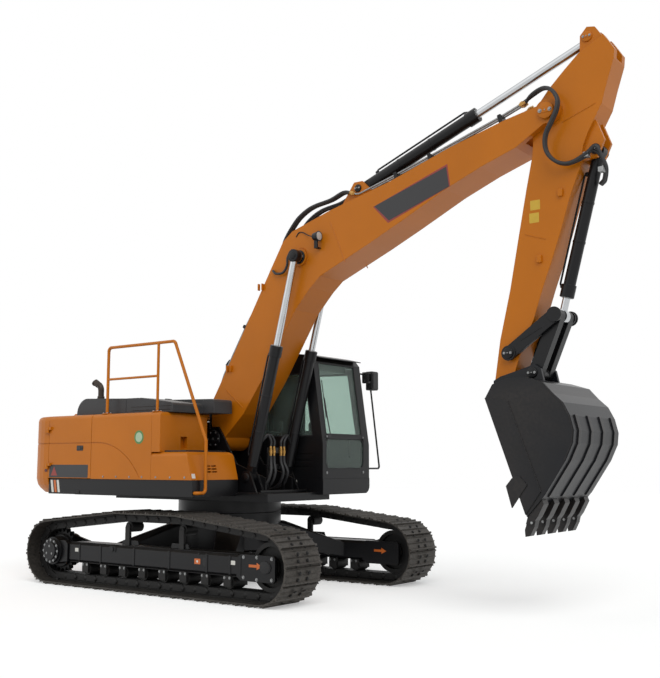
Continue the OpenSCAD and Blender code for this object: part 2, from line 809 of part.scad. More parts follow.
// the hood's shell between two planes, with walls at the sides where asked
module hood_shell(y0, y1, wall0, wall1) {
    difference() {
        slab(y0, y1)
            polygon(hood_line(0));
        slab(y0 + wall0 * sheet_t - (1 - wall0), y1 - wall1 * sheet_t + (1 - wall1))
            polygon(hood_line(sheet_t));
    }
}
hood_split = -tank_in - 135;
hood_hinges = [-500, 900];
module hood_fixed() {
    back = hood_hinge_x + 3;
    // the two covers ahead of the hinge on the right: rear, front, outer side, inner side, top
    covers = [
        [back, -403, -mid + hood_inset, boom_right, hood_top - 1],
        [-403, 171, -mid + hood_inset, hood_split, hood_top - 73],
        [-403, 361, hood_split, boom_right, hood_top - 18]
    ];
    color("#3B3B3C") {
        for (q = covers)
            slab(q[2], q[3])
                polygon([
                    [q[0], panel_top], [q[1], panel_top], [q[1], q[4] - 30],
                    [q[1] - 12, q[4] - 9], [q[1] - 34, q[4]], [q[0], hood_top]
                ]);
        block([back, boom_right - 1, panel_top], [cab_rear - side_gap, mid - hood_inset, hood_top]);
        for (y = hood_hinges) {
            bar([hood_hinge_x, hood_top + hinge_r + 2], hinge_r, y - hinge_h - seat_gap, y - seat_gap);
            bar([hood_hinge_x, hood_top + hinge_r + 2], hinge_pin_r, y - 1, y + hinge_h);
            block(
                [hood_hinge_x + 8, y - hinge_h - seat_gap, hood_top - 1],
                [hood_hinge_x + 78, y - seat_gap, hood_top + hinge_r + 8]
            );
        }
    }
}
module hood_lid() {
    color("#3B3B3C") {
        difference() {
            hood_shell(hood_split, mid - hood_inset, 0, 1);
            block([hood_rear - 5, -mid, panel_top - 5], [0, mid, panel_top + side_gap]);
        }
        for (y = hood_hinges)
            difference() {
                union() {
                    bar([hood_hinge_x, hood_top + hinge_r + 2], hinge_r, y, y + hinge_h);
                    block(
                        [hood_hinge_x - 82, y, hood_top],
                        [hood_hinge_x - 8, y + hinge_h, hood_top + hinge_r + 8]
                    );
                }
                bar([hood_hinge_x, hood_top + hinge_r + 2], hinge_pin_r + pin_fit, y - 1, y + hinge_h + 1);
            }
    }
}
module hood_side() {
    color("#3B3B3C")
        hood_shell(-mid + hood_inset, hood_split - side_gap, 1, 0);
}
module engine() {
    color("#3B3B3C")
        block([-1800, -tank_in, 1400], [-1150, tank_in + 100, 1950]);
}
exhaust_x = hood_rear + hood_edge + 20;
module exhaust() {
    y = -1000;
    base = hood_top + hood_rise;
    color("#3A322C") {
        tube([
            [exhaust_x, y, base], [exhaust_x, y, base + 165], [exhaust_x - 118, y, base + 235]
        ], pipe_r, 90);
        translate([exhaust_x, y, base])
            cylinder(r = pipe_r + 14, h = 14);
    }
}
module handrail() {
    // the foot of the slanted front leg, in front of the tool box
    leg_x = box_front + 54;
    leg_y = -1179;
    foot_z = (skirt_bottom + panel_bottom) / 2 - 50;
    color("#C07421") {
        tube([
            [-905, rail_y, panel_top], [-905, rail_y, rail_top], [278, rail_y, rail_top],
            [leg_x, leg_y, 1768], [leg_x, leg_y, foot_z], [leg_x, -mid + 50, foot_z],
            [box_front - 2 + seat_gap, -mid + 50, foot_z]
        ], rail_r, 50);
        rod([0, rail_y, panel_top + seat_gap], [0, rail_y, rail_top], rail_r - 2);
        rod([-905, rail_y, rail_mid], [0, rail_y, rail_mid], rail_r - 4);
    }
}
// front of the cab at the height z
function front_x(z) = lookup(z, [
    [1750, cab_front], [2046, cab_front - 46], [2620, cab_front - 130], [2800, cab_front - 155]
]);
cab_line = [
    [cab_rear, panel_bottom], [cab_front, panel_bottom], [cab_front, 1750], [front_x(2046), 2046],
    [front_x(2620), 2620], [front_x(2800), 2800], [cab_front - 210, 2865], [cab_front - 280, 2890],
    [cab_front - 420, cab_top], [cab_rear + 60, cab_top], [cab_rear, cab_top - 60]
];
cab_inner = mid - cab_w;
// sides of the two front panes
low_pane = [cab_inner + 66, mid - 118];
high_pane = [cab_inner + 92, mid - 133];
// Y and Z outline of the lower front pane, with rounded lower corners
module low_pane_plan() {
    polygon(concat(
        arc([low_pane[0] + pane_r, pane_bottom + pane_r], pane_r, 180, 270),
        arc([low_pane[1] - pane_r, pane_bottom + pane_r], pane_r, 270, 360),
        [[low_pane[1], bar_z - bar_h / 2], [low_pane[0], bar_z - bar_h / 2]]
    ));
}
module side_window() {
    polygon([
        [cab_rear + 130, 1850], [cab_front - 160, 1850], [cab_front - 200, 2060],
        [cab_front - 290, 2640], [cab_rear + 130, 2720]
    ]);
}
module rear_window_plan() {
    translate([cab_inner + 120, 1950])
        square([cab_w - 240, 750]);
}
door_x = 77;
// the cab door's outline, larger by g all round
function door_line(g) = [
    [80 - g, 1390 - g], [1130 + g, 1390 - g], [1130 + g, 1760], [1086 + g, 2046],
    [1000 + g, 2620], [975 + g, 2770 + g], [80 - g, 2790 + g]
];
door_in = [[150, 1850], [1060, 1850], [1020, 2060], [935, 2600], [915, 2700], [150, 2720]];
cab_hinges = [1500, 2500];
module cab_shell() {
    color("#1B1B1E")
        difference() {
            union() {
                slab(cab_inner, mid)
                    polygon(cab_line);
                // hatch on the roof, and the visor over the front pane
                block([150, cab_inner + 220, cab_top - 10], [700, mid - 220, cab_top + 14]);
                slab(cab_inner + 40, mid - 60)
                    polygon([
                        [cab_front - 290, 2880], [cab_front - 90, 2842],
                        [cab_front - 86, 2853], [cab_front - 290, 2902]
                    ]);
            }
            slab(cab_inner + cab_t, mid - cab_t)
                polygon(inset(cab_line, cab_t));
            run_x(cab_front - 2 * cab_t, cab_front + 5)
                low_pane_plan();
            block(
                [cab_front - 400, high_pane[0], bar_z + bar_h / 2],
                [cab_front + 50, high_pane[1], pane_top]
            );
            slab(cab_inner - 5, cab_inner + cab_t + 5)
                side_window();
            run_x(cab_rear - 10, cab_rear + cab_t + 10)
                rear_window_plan();
            slab(mid - cab_t - 5, mid + 5)
                polygon(door_line(side_gap));
            // pressed grooves low on the right side
            for (z = [1450, 1530, 1610])
                block([700, cab_inner - 1, z], [1080, cab_inner + groove_d, z + 2 * groove_w]);
        }
    color("#1B1B1E")
        for (z = cab_hinges) {
            hinge_fixed(door_x, mid + hinge_r + 2, z);
            block([door_x - 60, mid - 1, z], [door_x - hinge_r + 6, mid + hinge_r + 10, z + hinge_h]);
        }
}
// how deep the front panes stand in their frame
pane_in = 14;
// side outline of a front pane through the given heights
function pane_line(levels) =
    let (n = len(levels) - 1)
    [for (i = [0:2 * n + 1])
        let (z = levels[i > n ? 2 * n + 1 - i : i])
        [front_x(z) - pane_in - (i > n ? glass_t : 0), z]];
// panes of the front, the right side and the rear
module cab_glass() {
    color("#9DB3A8", 0.4) {
        intersection() {
            slab(low_pane[0], low_pane[1])
                polygon(pane_line([pane_bottom, 1750, bar_z - bar_h / 2]));
            run_x(cab_front - 2 * cab_t, cab_front + 5)
                low_pane_plan();
        }
        slab(high_pane[0], high_pane[1])
            polygon(pane_line([bar_z + bar_h / 2, 2046, 2620, pane_top]));
        slab(cab_inner + cab_t / 2 - glass_t / 2, cab_inner + cab_t / 2 + glass_t / 2)
            side_window();
        run_x(cab_rear + cab_t / 2 - glass_t / 2, cab_rear + cab_t / 2 + glass_t / 2)
            rear_window_plan();
    }
}
module cab_door() {
    color("#1B1B1E") {
        for (z = cab_hinges) {
            hinge_leaf(door_x, mid + hinge_r + 2, z);
            block(
                [door_x + hinge_r - 6, mid - 1, z + hinge_h + seat_gap],
                [door_x + 60, mid + hinge_r + 10, z + 2 * hinge_h + seat_gap]
            );
        }
        difference() {
            slab(mid - cab_t, mid)
                polygon(door_line(0));
            slab(mid - cab_t - 5, mid + 5)
                polygon(door_in);
        }
        // handle
        block([1020, mid - 1, 1700], [1100, mid + 22, 1730]);
    }
}
module door_glass() {
    color("#9DB3A8", 0.4)
        slab(mid - cab_t / 2 - glass_t / 2, mid - cab_t / 2 + glass_t / 2)
            polygon(door_in);
}
// mirror and grab rail outside the cab's front left corner
module mirror_rail() {
    low_x = cab_front - 40;
    high_x = front_x(2700) - 60;
    high_z = 2715;
    out_y = mid + 300;
    color("#1B1B1E") {
        tube([
            [low_x, mid + seat_gap, 1440], [low_x, out_y, 1440], [high_x, out_y, high_z],
            [high_x, mid + seat_gap, high_z]
        ], mirror_r, 40);
        // housings as [inner side, bottom, width, height], their glass face set in
        for (q = [[mid + 190, 2600, 60, 145], [mid + 280, 2510, 150, 250]])
            difference() {
                block([high_x - 34, q[0], q[1]], [high_x + 50, q[0] + q[2], q[1] + q[3]]);
                block([high_x - 35, q[0] + 8, q[1] + 8], [high_x - 26, q[0] + q[2] - 8, q[1] + q[3] - 8]);
            }
    }
}
module seat() {
    floor_z = panel_bottom + cab_t;
    color("#26272B") {
        // base, cushion, back and head rest
        block([-120, 700, floor_z], [300, 1020, 1620]);
        block([-180, 620, 1620], [340, 1100, 1750]);
        hull() {
            block([-230, 630, 1760], [-100, 1090, 1800]);
            block([-330, 660, 2350], [-230, 1060, 2400]);
        }
        block([-200, 700, 1740], [-120, 1020, 1780]);
        block([-340, 760, 2395], [-250, 960, 2560]);
    }
}
// consoles with their levers, and the travel levers on the floor
module controls() {
    floor_z = panel_bottom + cab_t;
    color("#26272B") {
        for (y = [500, 1140]) {
            block([-60, y, floor_z], [430, y + 90, 1830]);
            rod([370, y + 45, 1825], [385, y + 45, 1975], 11);
            rod([383, y + 45, 1950], [392, y + 45, 2040], 24);
        }
        for (y = [660, 780]) {
            rod([980, y, floor_z + 10], [960, y, 1790], 11);
            block([920, y - 45, floor_z], [1080, y + 45, floor_z + 30]);
        }
    }
}
// the boom's side outline from its foot pin: rear, back, tip, belly and foot
boom_line = [
    [-85, 180], [-80, 480], [320, 1130], [880, 2075], [1080, 2405], [1225, 2515], [1810, 2690], [2670, 2895],
    [3460, 3140], [4130, 3305], [4540, 3380], [4585, 3180], [4245, 2980], [3825, 2845], [3390, 2675],
    [2800, 2400], [2385, 2215], [1955, 2035], [1658, 1911], [1507, 1782], [1276, 1537], [760, 720],
    [450, 300], [130, 0], [60, -120], [-60, -120]
];
module boom() {
    color("#C07421")
        difference() {
            union() {
                slab(boom_y - boom_w / 2, boom_y + boom_w / 2)
                    polygon([for (q = boom_line) foot + gear * q]);
                bar(foot, 150, boom_y - boom_w / 2, boom_y + boom_w / 2);
                bar(tip, 130, boom_y - boom_w / 2, boom_y + boom_w / 2);
                // bosses of both cylinders' rod pins
                bar(eye, 105, boom_y - boom_w / 2 - 25, boom_y + boom_w / 2 + 25);
                pair(boom_y, 75, 30)
                    polygon([for (q = [[-330, -300], [-60, 80], [60, 80], [330, -190]]) stick_base + q]);
                bar(stick_base, pin_r, boom_y - 90, boom_y + 90);
            }
            bar(foot, main_pin_r + pin_fit, boom_y - boom_w, boom_y + boom_w);
            bar(tip, main_pin_r + pin_fit, boom_y - boom_w, boom_y + boom_w);
            // slot in which the arm swings
            slab(boom_y - arm_w / 2 - side_gap, boom_y + arm_w / 2 + side_gap)
                translate(tip)
                    rotate(20)
                        translate([-350, -600])
                            square([920, 1200]);
        }
}
// work lamp on the boom's right side, with its bracket
module boom_lamp() {
    at = eye + [252, 208];
    side = boom_y - boom_w / 2;
    color("#26272B") {
        translate([at[0], side - 66, at[1]])
            rotate([0, 90, 0])
                cylinder(r1 = 42, r2 = 60, h = 80);
        block([at[0] + 10, side - 74, at[1] - 130], [at[0] + 60, side - 58, at[1] - 40]);
        block([at[0] + 10, side - 74, at[1] - 142], [at[0] + 60, side, at[1] - 130]);
    }
}
module boom_pin() {
    color("#26272B")
        bar(tip, main_pin_r, boom_y - boom_w / 2 - 20, boom_y + boom_w / 2 + 20);
}
// a cylinder's barrel, from its base pin p towards its rod's eye q
module barrel(p, q, y, length, r, w, neck, bottom) {
    along(p, q, y)
        difference() {
            union() {
                translate([0, 0, neck])
                    cylinder(r = r, h = length - neck);
                translate([-r * 0.7, -w / 2, 0])
                    cube([r * 1.4, w, neck + 5]);
                translate([0, 0, length - gland_l])
                    cylinder(r = r + gland_t, h = gland_l);
                rotate([90, 0, 0])
                    translate([0, 0, -w / 2])
                        cylinder(r = r + 5, h = w);
            }
            rotate([90, 0, 0])
                translate([0, 0, -w])
                    cylinder(r = pin_r + pin_fit, h = 2 * w);
            translate([0, 0, bottom])
                cylinder(r = r * rod_share + rod_fit, h = length);
        }
}
// its rod, whose inner end is inner from the base pin at rest
module piston_rod(p, q, y, inner, r, w) {
    reach = norm(q - p);
    along(p, q, y) {
        translate([0, 0, inner])
            cylinder(r = r * rod_share, h = reach - inner);
        translate([0, 0, reach])
            rotate([90, 0, 0])
                translate([0, 0, -w / 2])
                    cylinder(r = r + 8, h = w);
    }
}
ram_len = norm(eye - ram_foot) - ram_show;
stick_len = norm(stick_eye - stick_base) - stick_show;
curl_len = norm(link_top - curl_base) - curl_show;
module boom_barrels() {
    color("#26272B")
        for (s = [-1, 1])
            barrel(ram_foot, eye, boom_y + s * ram_y, ram_len, ram_r, ram_w, 145, 160);
}
module boom_rods() {
    color("#8E9094")
        for (s = [-1, 1])
            piston_rod(ram_foot, eye, boom_y + s * ram_y, ram_len - ram_lap, ram_r, ram_w);
}
module arm_barrel() {
    color("#26272B")
        barrel(stick_base, stick_eye, boom_y, stick_len, stick_r, stick_w, 150, 90);
}
module arm_rod() {
    color("#8E9094")
        piston_rod(stick_base, stick_eye, boom_y, stick_len - stick_lap, stick_r, stick_w);
}
module bucket_barrel() {
    color("#26272B")
        barrel(curl_base, link_top, boom_y, curl_len, curl_r, curl_w, 80, 105);
}
module bucket_rod() {
    color("#8E9094")
        piston_rod(curl_base, link_top, boom_y, curl_len - curl_lap, curl_r, curl_w - 10);
}
// the arm's side outline from its pivot: back, nose, front and head
arm_line = [
    [330, 560], [170, 420], [0, 260], [-110, 130], [-185, -190], [-205, -420], [-283, -770], [-390, -1290],
    [-495, -1810], [-623, -2330], [-700, -2800], [-540, -2800], [-487, -2734], [-346, -2351], [-242, -2150],
    [-118, -1800], [-30, -1575], [78, -1275], [198, -909], [314, -627], [350, -420], [400, -300], [560, -20],
    [620, 180], [700, 420], [710, 520], [600, 700]
];
module arm() {
    color("#C07421")
        difference() {
            union() {
                slab(boom_y - arm_w / 2, boom_y + arm_w / 2)
                    polygon([for (q = arm_line) tip + gear * q]);
                bar(bucket_pin, 125, boom_y - arm_w / 2, boom_y + arm_w / 2);
                // ears of the bucket cylinder's base and of the arm cylinder's rod
                pair(boom_y, 90, 40)
                    polygon([
                        for (q = [[420, 0], [560, -380], [480, -550], [330, -560], [250, -200]])
                            tip + gear * q
                    ]);
                pair(boom_y, 90, 40)
                    polygon([
                        for (q = [[330, 560], [340, 760], [415, 840], [500, 820], [640, 600]]) tip + gear * q
                    ]);
                bar(curl_base, pin_r, boom_y - 110, boom_y + 110);
                bar(link_arm, pin_r, boom_y - 210, boom_y + 210);
            }
            bar(tip, main_pin_r + pin_fit, boom_y - arm_w, boom_y + arm_w);
            bar(bucket_pin, pin_r + pin_fit, boom_y - arm_w, boom_y + arm_w);
            // slot in which the rod's eye drifts
            slab(boom_y - 70, boom_y + 70)
                polygon([
                    for (q = [
                        [120, 640], [120, 900], [760, 900], [760, 430], [420, 462], [310, 455], [225, 490]
                    ])
                        tip + gear * q
                ]);
        }
}
module side_links() {
    color("#26272B")
        difference() {
            union() {
                pair(boom_y, 182, 40)
                    hull() {
                        translate(link_arm)
                            circle(r = 70);
                        translate(link_top)
                            circle(r = 70);
                    }
                // bosses outside the links
                pair(boom_y, 208, 14) {
                    translate(link_arm)
                        circle(r = 78);
                    translate(link_top)
                        circle(r = 78);
                }
            }
            bar(link_arm, pin_r + pin_fit, boom_y - 300, boom_y + 300);
        }
}
module bucket_link() {
    color("#26272B")
        difference() {
            union() {
                pair(boom_y, 105, 100)
                    hull() {
                        translate(link_bucket)
                            circle(r = 70);
                        translate(link_top)
                            circle(r = 62);
                    }
                bar(link_bucket, 70, boom_y - 155, boom_y + 155);
            }
            bar(link_bucket, pin_r + pin_fit, boom_y - 200, boom_y + 200);
        }
}
// the bucket's side from its pin: tooth edge, back, top and heel, in that order
bucket_line = [
    [439, -1275], [632, -1063], [855, -732], [930, -574], [944, -453], [909, -311], [843, -185], [744, -95],
    [644, 15], [450, 75], [250, 70], [95, 20], [14, -113]
];
// where the mouth lies, from one edge to the other
mouth = bucket_line[0] - bucket_line[12];
// the step that moves a point out of the mouth
out = (bucket_t + 60) * [mouth[1], -mouth[0]] / norm(mouth);
bucket_inner = inset(
    [for (i = [0:12]) bucket_line[i] + (i == 0 || i == 12 ? out : [0, 0])],
    bucket_t
);
module on_bucket(points) {
    polygon([for (q = points) bucket_pin + q]);
}
module bucket() {
    half = bucket_w / 2;
    color("#1F2026") {
        difference() {
            union() {
                difference() {
                    slab(boom_y - half, boom_y + half)
                        on_bucket(bucket_line);
                    slab(boom_y - half + bucket_t, boom_y + half - bucket_t)
                        on_bucket(bucket_inner);
                }
                intersection() {
                    bar(bucket_pin, 175, boom_y - 200, boom_y + 200);
                    slab(boom_y - 200, boom_y + 200)
                        on_bucket(bucket_line);
                }
            }
            bar(bucket_pin, 145, boom_y - arm_w / 2 - side_gap, boom_y + arm_w / 2 + side_gap);
            slab(boom_y - arm_w / 2 - side_gap, boom_y + arm_w / 2 + side_gap)
                translate(bucket_pin + [-60, -260])
                    square([110, 200]);
        }
        pair(boom_y, 180, 36)
            on_bucket([
                [-80, 90], [0, 130], [300, 210], [380, 240], [450, 190], [480, 60], [250, 50],
                [90, -10], [-90, -90]
            ]);
        bar(bucket_pin, pin_r, boom_y - 200, boom_y + 200);
        bar(link_bucket, pin_r, boom_y - 200, boom_y + 200);
        // bands along the mouth and side cutters on both sides
        pair(boom_y, half + 6, 14) {
            on_bucket([[14, -113], [429, -1256], [591, -1035], [256, -143]]);
        }
        pair(boom_y, half + 16, 18)
            on_bucket([[234, -983], [293, -1194], [371, -1087], [458, -971], [376, -885], [301, -905]]);
        // wear strips up the back
        for (y = [-450, -150, 150, 450])
            intersection() {
                slab(boom_y + y - 30, boom_y + y + 30)
                    on_bucket([[500, -1085], [1200, -1085], [1200, -300], [500, -300]]);
                difference() {
                    slab(boom_y + y - 30, boom_y + y + 30)
                        on_bucket(inset(bucket_line, -14));
                    slab(boom_y + y - 40, boom_y + y + 40)
                        on_bucket(inset(bucket_line, bucket_t / 2));
                }
            }
    }
}
// adapters on the bucket's lip with their tips
module bucket_teeth() {
    spacing = (bucket_w - 140) / (teeth - 1);
    color("#1F2026")
        for (i = [0:teeth - 1]) {
            y = boom_y + (i - (teeth - 1) / 2) * spacing;
            slab(y - 55, y + 55)
                on_bucket([
                    bucket_line[0], [418, -1345], [480, -1352], [545, -1270], [610, -1150],
                    bucket_line[0] + 0.8 * (bucket_line[1] - bucket_line[0])
                ]);
            slab(y - 43, y + 43)
                on_bucket([
                    [425, -1330], [400, -1400], [405, -1466], [455, -1456], [500, -1370], [520, -1290]
                ]);
        }
}

track_frame();
track_right();
track_left();
track_chains();
sprockets();
idlers();
rollers();
upper_frame();
counterweight();
right_panel();
fuel_tank();
tool_box();
left_panel();
top_deck();
pump_door();
left_door();
hood_fixed();
hood_lid();
hood_side();
engine();
exhaust();
handrail();
cab_shell();
cab_glass();
cab_door();
door_glass();
mirror_rail();
seat();
controls();
boom();
boom_lamp();
boom_pin();
boom_barrels();
boom_rods();
arm_barrel();
arm_rod();
arm();
bucket_barrel();
bucket_rod();
side_links();
bucket_link();
bucket();
bucket_teeth();
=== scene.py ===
"""Looks of a crawler excavator: the finishes of its steel, rubber, glass and cloth, and its small rigging."""

import json
import math

import bmesh
import bpy
from bpy.props import FloatProperty, FloatVectorProperty, PointerProperty, StringProperty
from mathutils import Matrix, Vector


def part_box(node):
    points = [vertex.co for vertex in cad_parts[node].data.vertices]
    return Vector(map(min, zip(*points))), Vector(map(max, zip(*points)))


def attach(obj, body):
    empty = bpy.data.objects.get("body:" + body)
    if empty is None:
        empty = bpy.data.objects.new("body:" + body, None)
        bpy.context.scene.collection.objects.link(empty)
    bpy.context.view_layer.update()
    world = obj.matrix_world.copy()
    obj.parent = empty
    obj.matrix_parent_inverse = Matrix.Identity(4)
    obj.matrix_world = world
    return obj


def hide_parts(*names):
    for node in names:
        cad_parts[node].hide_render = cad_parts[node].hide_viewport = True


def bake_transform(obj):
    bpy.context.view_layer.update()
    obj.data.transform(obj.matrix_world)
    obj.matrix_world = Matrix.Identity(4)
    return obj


bl_info = {
    "name": "Crawler Excavator Looks",
    "version": (1, 0, 0),
    "blender": (4, 5, 0),
    "location": "View3D > Sidebar > Excavator",
    "description": "Finishes and small rigging of a crawler excavator, around its packed solids",
    "category": "Object",
}

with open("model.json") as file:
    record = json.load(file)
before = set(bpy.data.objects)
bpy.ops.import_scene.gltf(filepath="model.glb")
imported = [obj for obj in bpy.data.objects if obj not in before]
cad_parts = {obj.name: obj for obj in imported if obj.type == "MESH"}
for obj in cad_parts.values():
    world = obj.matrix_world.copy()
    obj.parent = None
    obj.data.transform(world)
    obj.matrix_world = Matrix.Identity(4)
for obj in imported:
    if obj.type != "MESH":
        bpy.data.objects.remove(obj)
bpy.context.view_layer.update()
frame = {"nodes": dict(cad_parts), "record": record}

# Finishes that many pieces share
BLACK, ORANGE = "sprayed_enamel_black", "sprayed_enamel_orange"
ZINC, BRASSY, FORGED = "zinc_plated_steel", "yellow_passivated_steel", "forged_chain_steel"
RUBBER, HOSE, PLASTIC = "moulded_seal_rubber", "braided_hose_rubber", "moulded_plastic_black"


# Sizes and colours that a user would change


class ExcavatorFinish(bpy.types.PropertyGroup):
    """Colours of the paint and of the bare materials, as sRGB hex"""

    orange: StringProperty(name="Orange", description="Enamel of the body, boom and arm", default="BE6C0A")
    black: StringProperty(name="Black", description="Enamel of the frame and the cab", default="0F0F11")
    grey: StringProperty(name="Grey", description="Enamel of the engine hood", default="3B3B3C")
    dust: StringProperty(name="Dust", description="Dust that settles on level faces", default="8A7A66")


class ExcavatorSizes(bpy.types.PropertyGroup):
    """Sizes of the small pieces"""

    bolt: FloatProperty(name="Bolt", description="Bolt head over its flats", default=0.03, unit="LENGTH")
    hose: FloatProperty(name="Hose", description="Outer diameter of a hose", default=0.038, unit="LENGTH")


class ExcavatorStage(bpy.types.PropertyGroup):
    """Where the camera stands, and how bright the lamps are"""

    eye: FloatVectorProperty(
        name="Eye", description="Place of the camera", default=(8.726, -9.427, 1.505), unit="LENGTH"
    )
    tilt: FloatProperty(name="Tilt", description="Camera up from the level", default=7.24)
    turn: FloatProperty(name="Turn", description="Camera about the vertical", default=37.04)
    lens: FloatProperty(name="Lens", description="Focal length in mm on a 36 mm wide sensor", default=53.49)
    sky: FloatProperty(name="Sky", description="Strength of the soft light from all round", default=0.4)
    key: FloatProperty(name="Key", description="Strength of the main soft lamp", default=1.5)


# Helpers


def linear(code):
    """An sRGB hex value as a linear colour."""
    parts = [int(code[i : i + 2], 16) / 255 for i in (0, 2, 4)]
    return [p / 12.92 if p <= 0.04045 else ((p + 0.055) / 1.055) ** 2.4 for p in parts] + [1.0]


def add(tree, kind, links=(), **settings):
    """Adds a node with its settings and its inputs, which are sockets to link or plain values."""
    node = tree.nodes.new(kind)
    for name, value in settings.items():
        setattr(node, name, value)
    for name, value in dict(links).items():
        if isinstance(value, bpy.types.NodeSocket):
            tree.links.new(value, node.inputs[name])
        else:
            node.inputs[name].default_value = value
    return node


def new_material(name):
    """A material with its tree and its Principled shader."""
    material = bpy.data.materials.new(name)
    material.use_nodes = True
    tree = material.node_tree
    return material, tree, tree.nodes["Principled BSDF"]


def per_metre(size_mm):
    """Scale of a pattern whose grain has this size."""
    return 1000 / size_mm


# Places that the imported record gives, in mm


def joint(name):
    """What the record says of a joint."""
    return next(j for j in frame["record"]["behaviour"]["joints"] if j["name"] == name)


def joint_place(name):
    """Where a joint's axis passes."""
    return Vector(joint(name)["pos_m"]) * 1000


def slide_way(name):
    """Which way a cylinder's rod slides out."""
    return Vector(joint(name)["axis"])


TIP = joint_place("arm_crowd")
RAM_FOOT = joint_place("boom_barrel_pivot")
STICK_BASE = joint_place("arm_barrel_pivot")
CURL_BASE = joint_place("bucket_barrel_pivot")
LINK_ARM = joint_place("side_link_pivot")
LINK_BUCKET = joint_place("bucket_link_pivot")
BUCKET_PIN = joint_place("bucket_curl")
BOOM_FOOT = joint_place("boom_lift")
# sideways place of the boom's middle plane
BOOM_MID = BOOM_FOOT.y


def middle(node):
    """Middle of a CAD node's box."""
    low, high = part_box(node)
    return (Vector(low) + Vector(high)) * 500


def mm(*values):
    """A point in metres from millimetres."""
    return Vector(values) / 1000


def around(radius, degrees):
    """A point on a circle about nought."""
    return radius * math.cos(math.radians(degrees)), radius * math.sin(math.radians(degrees))


def sign(value):
    """Which side of the middle a place is on: 1 for the left, -1 for the right."""
    return 1 if value > 0 else -1


def flanks(half):
    """Right and left of the boom's middle: which side as -1 or 1, and the sideways place half mm out."""
    return [(s, BOOM_MID + s * half) for s in (-1, 1)]


def upright(y, outline, about=Vector((0, 0, 0))):
    """Points at one sideways place, from an outline (forward, up) about a place."""
    return [(about.x + u, y, about.z + v) for u, v in outline]


# Mesh helpers: each adds to the mesh bm, in metres


def rings(bm, loops, closed_ends=True):
    """Skin through rings of points, with flat ends."""
    rows = [[bm.verts.new(p) for p in loop] for loop in loops]
    count = len(rows[0])
    for a, b in zip(rows, rows[1:]):
        for i in range(count):
            bm.faces.new((a[i], a[(i + 1) % count], b[(i + 1) % count], b[i]))
    if closed_ends:
        bm.faces.new(rows[0][::-1])
        bm.faces.new(rows[-1])


def turned(bm, at, along, profile, sides=24):
    """A turned piece: profile is [(distance along the axis, radius)] in mm, from its seat at `at`."""
    turn = Vector(along).to_track_quat("Z", "Y").to_matrix()
    ways = [around(1, 360 * i / sides) for i in range(sides)]
    rings(bm, [[Vector(at) + turn @ mm(r * c, r * s, depth) for c, s in ways] for depth, r in profile])


def bolt(bm, at, along, across):
    """A washer and a chamfered hexagon head, across mm over its corners."""
    turned(bm, at, along, [(-2, across * 0.72), (3, across * 0.72)], sides=12)
    head = [(3, across / 2), (across * 0.3, across / 2), (across * 0.4, across * 0.42)]
    turned(bm, at, along, head, sides=6)


def slab(bm, outline, plane, start, stop):
    """A flat outline in mm, thick from start to stop across its plane, which is XZ, YZ or XY."""
    third = {"XZ": 1, "YZ": 0, "XY": 2}[plane]
    rings(bm, [[mm(*p[:third], depth, *p[third:]) for p in outline] for depth in (start, stop)])


def box(bm, low, high, chamfer=3):
    """A block in mm with its upright edges chamfered."""
    (x0, y0, z0), (x1, y1, z1) = low, high
    c = chamfer
    corners = [(x0 + c, y0), (x1 - c, y0), (x1, y0 + c), (x1, y1 - c)]
    corners += [(x1 - c, y1), (x0 + c, y1), (x0, y1 - c), (x0, y0 + c)]
    slab(bm, corners, "XY", z0, z1)


def rounded(u0, v0, u1, v1, radius, steps=4):
    """A rectangle's outline with round corners."""
    left, right, low, high = u0 + radius, u1 - radius, v0 + radius, v1 - radius
    outline = []
    for k, (u, v) in enumerate([(right, high), (left, high), (left, low), (right, low)]):
        for i in range(steps + 1):
            du, dv = around(radius, 90 * (k + i / steps))
            outline.append((u + du, v + dv))
    return outline


def disc(u, v, radius, count=24):
    """A circle's outline."""
    return [(u + du, v + dv) for du, dv in (around(radius, 360 * i / count) for i in range(count))]


def flowing(points, per=8):
    """A smooth line through points in mm, as a bent hose takes."""
    first, last = (2 * Vector(points[i]) - Vector(points[j]) for i, j in ((0, 1), (-1, -2)))
    p = [first, *map(Vector, points), last]
    line = []
    for i in range(1, len(p) - 2):
        for k in range(per):
            t = k / per
            a, b, c, d = p[i - 1 : i + 3]
            bend = (2 * a - 5 * b + 4 * c - d) * t * t + (3 * b - a - 3 * c + d) * t**3
            line.append(0.5 * (2 * b + (c - a) * t + bend))
    return [*line, p[-2]]


def bent(points, radius=60, steps=5):
    """Straight runs between points in mm with round bends, as a pipe bender leaves them."""
    p = [Vector(q) for q in points]
    line = [p[0]]
    for a, b, c in zip(p, p[1:], p[2:]):
        u, v = (a - b).normalized(), (c - b).normalized()
        cut = min(radius / math.tan(u.angle(v) / 2), (a - b).length / 2.2, (c - b).length / 2.2)
        for i in range(steps + 1):
            t = i / steps
            line.append((1 - t) ** 2 * (b + u * cut) + 2 * t * (1 - t) * b + t * t * (b + v * cut))
    return [*line, p[-1]]


def swept(bm, line, radius, sides=10, swell=None):
    """A round section of radius mm swept along a line in mm. swell gives its share at each step."""
    line = [q for i, q in enumerate(line) if i == 0 or (q - line[i - 1]).length > 0.5]
    loops = []
    side = None
    for i, q in enumerate(line):
        ahead = (line[min(i + 1, len(line) - 1)] - line[max(i - 1, 0)]).normalized()
        if side is None:
            side = ahead.orthogonal().normalized()
        side = (side - ahead * side.dot(ahead)).normalized()
        up = ahead.cross(side)
        r = radius * (swell(i) if swell else 1)
        ways = [around(r, 360 * k / sides) for k in range(sides)]
        loops.append([(q + c * side + s * up) / 1000 for c, s in ways])
    rings(bm, loops)


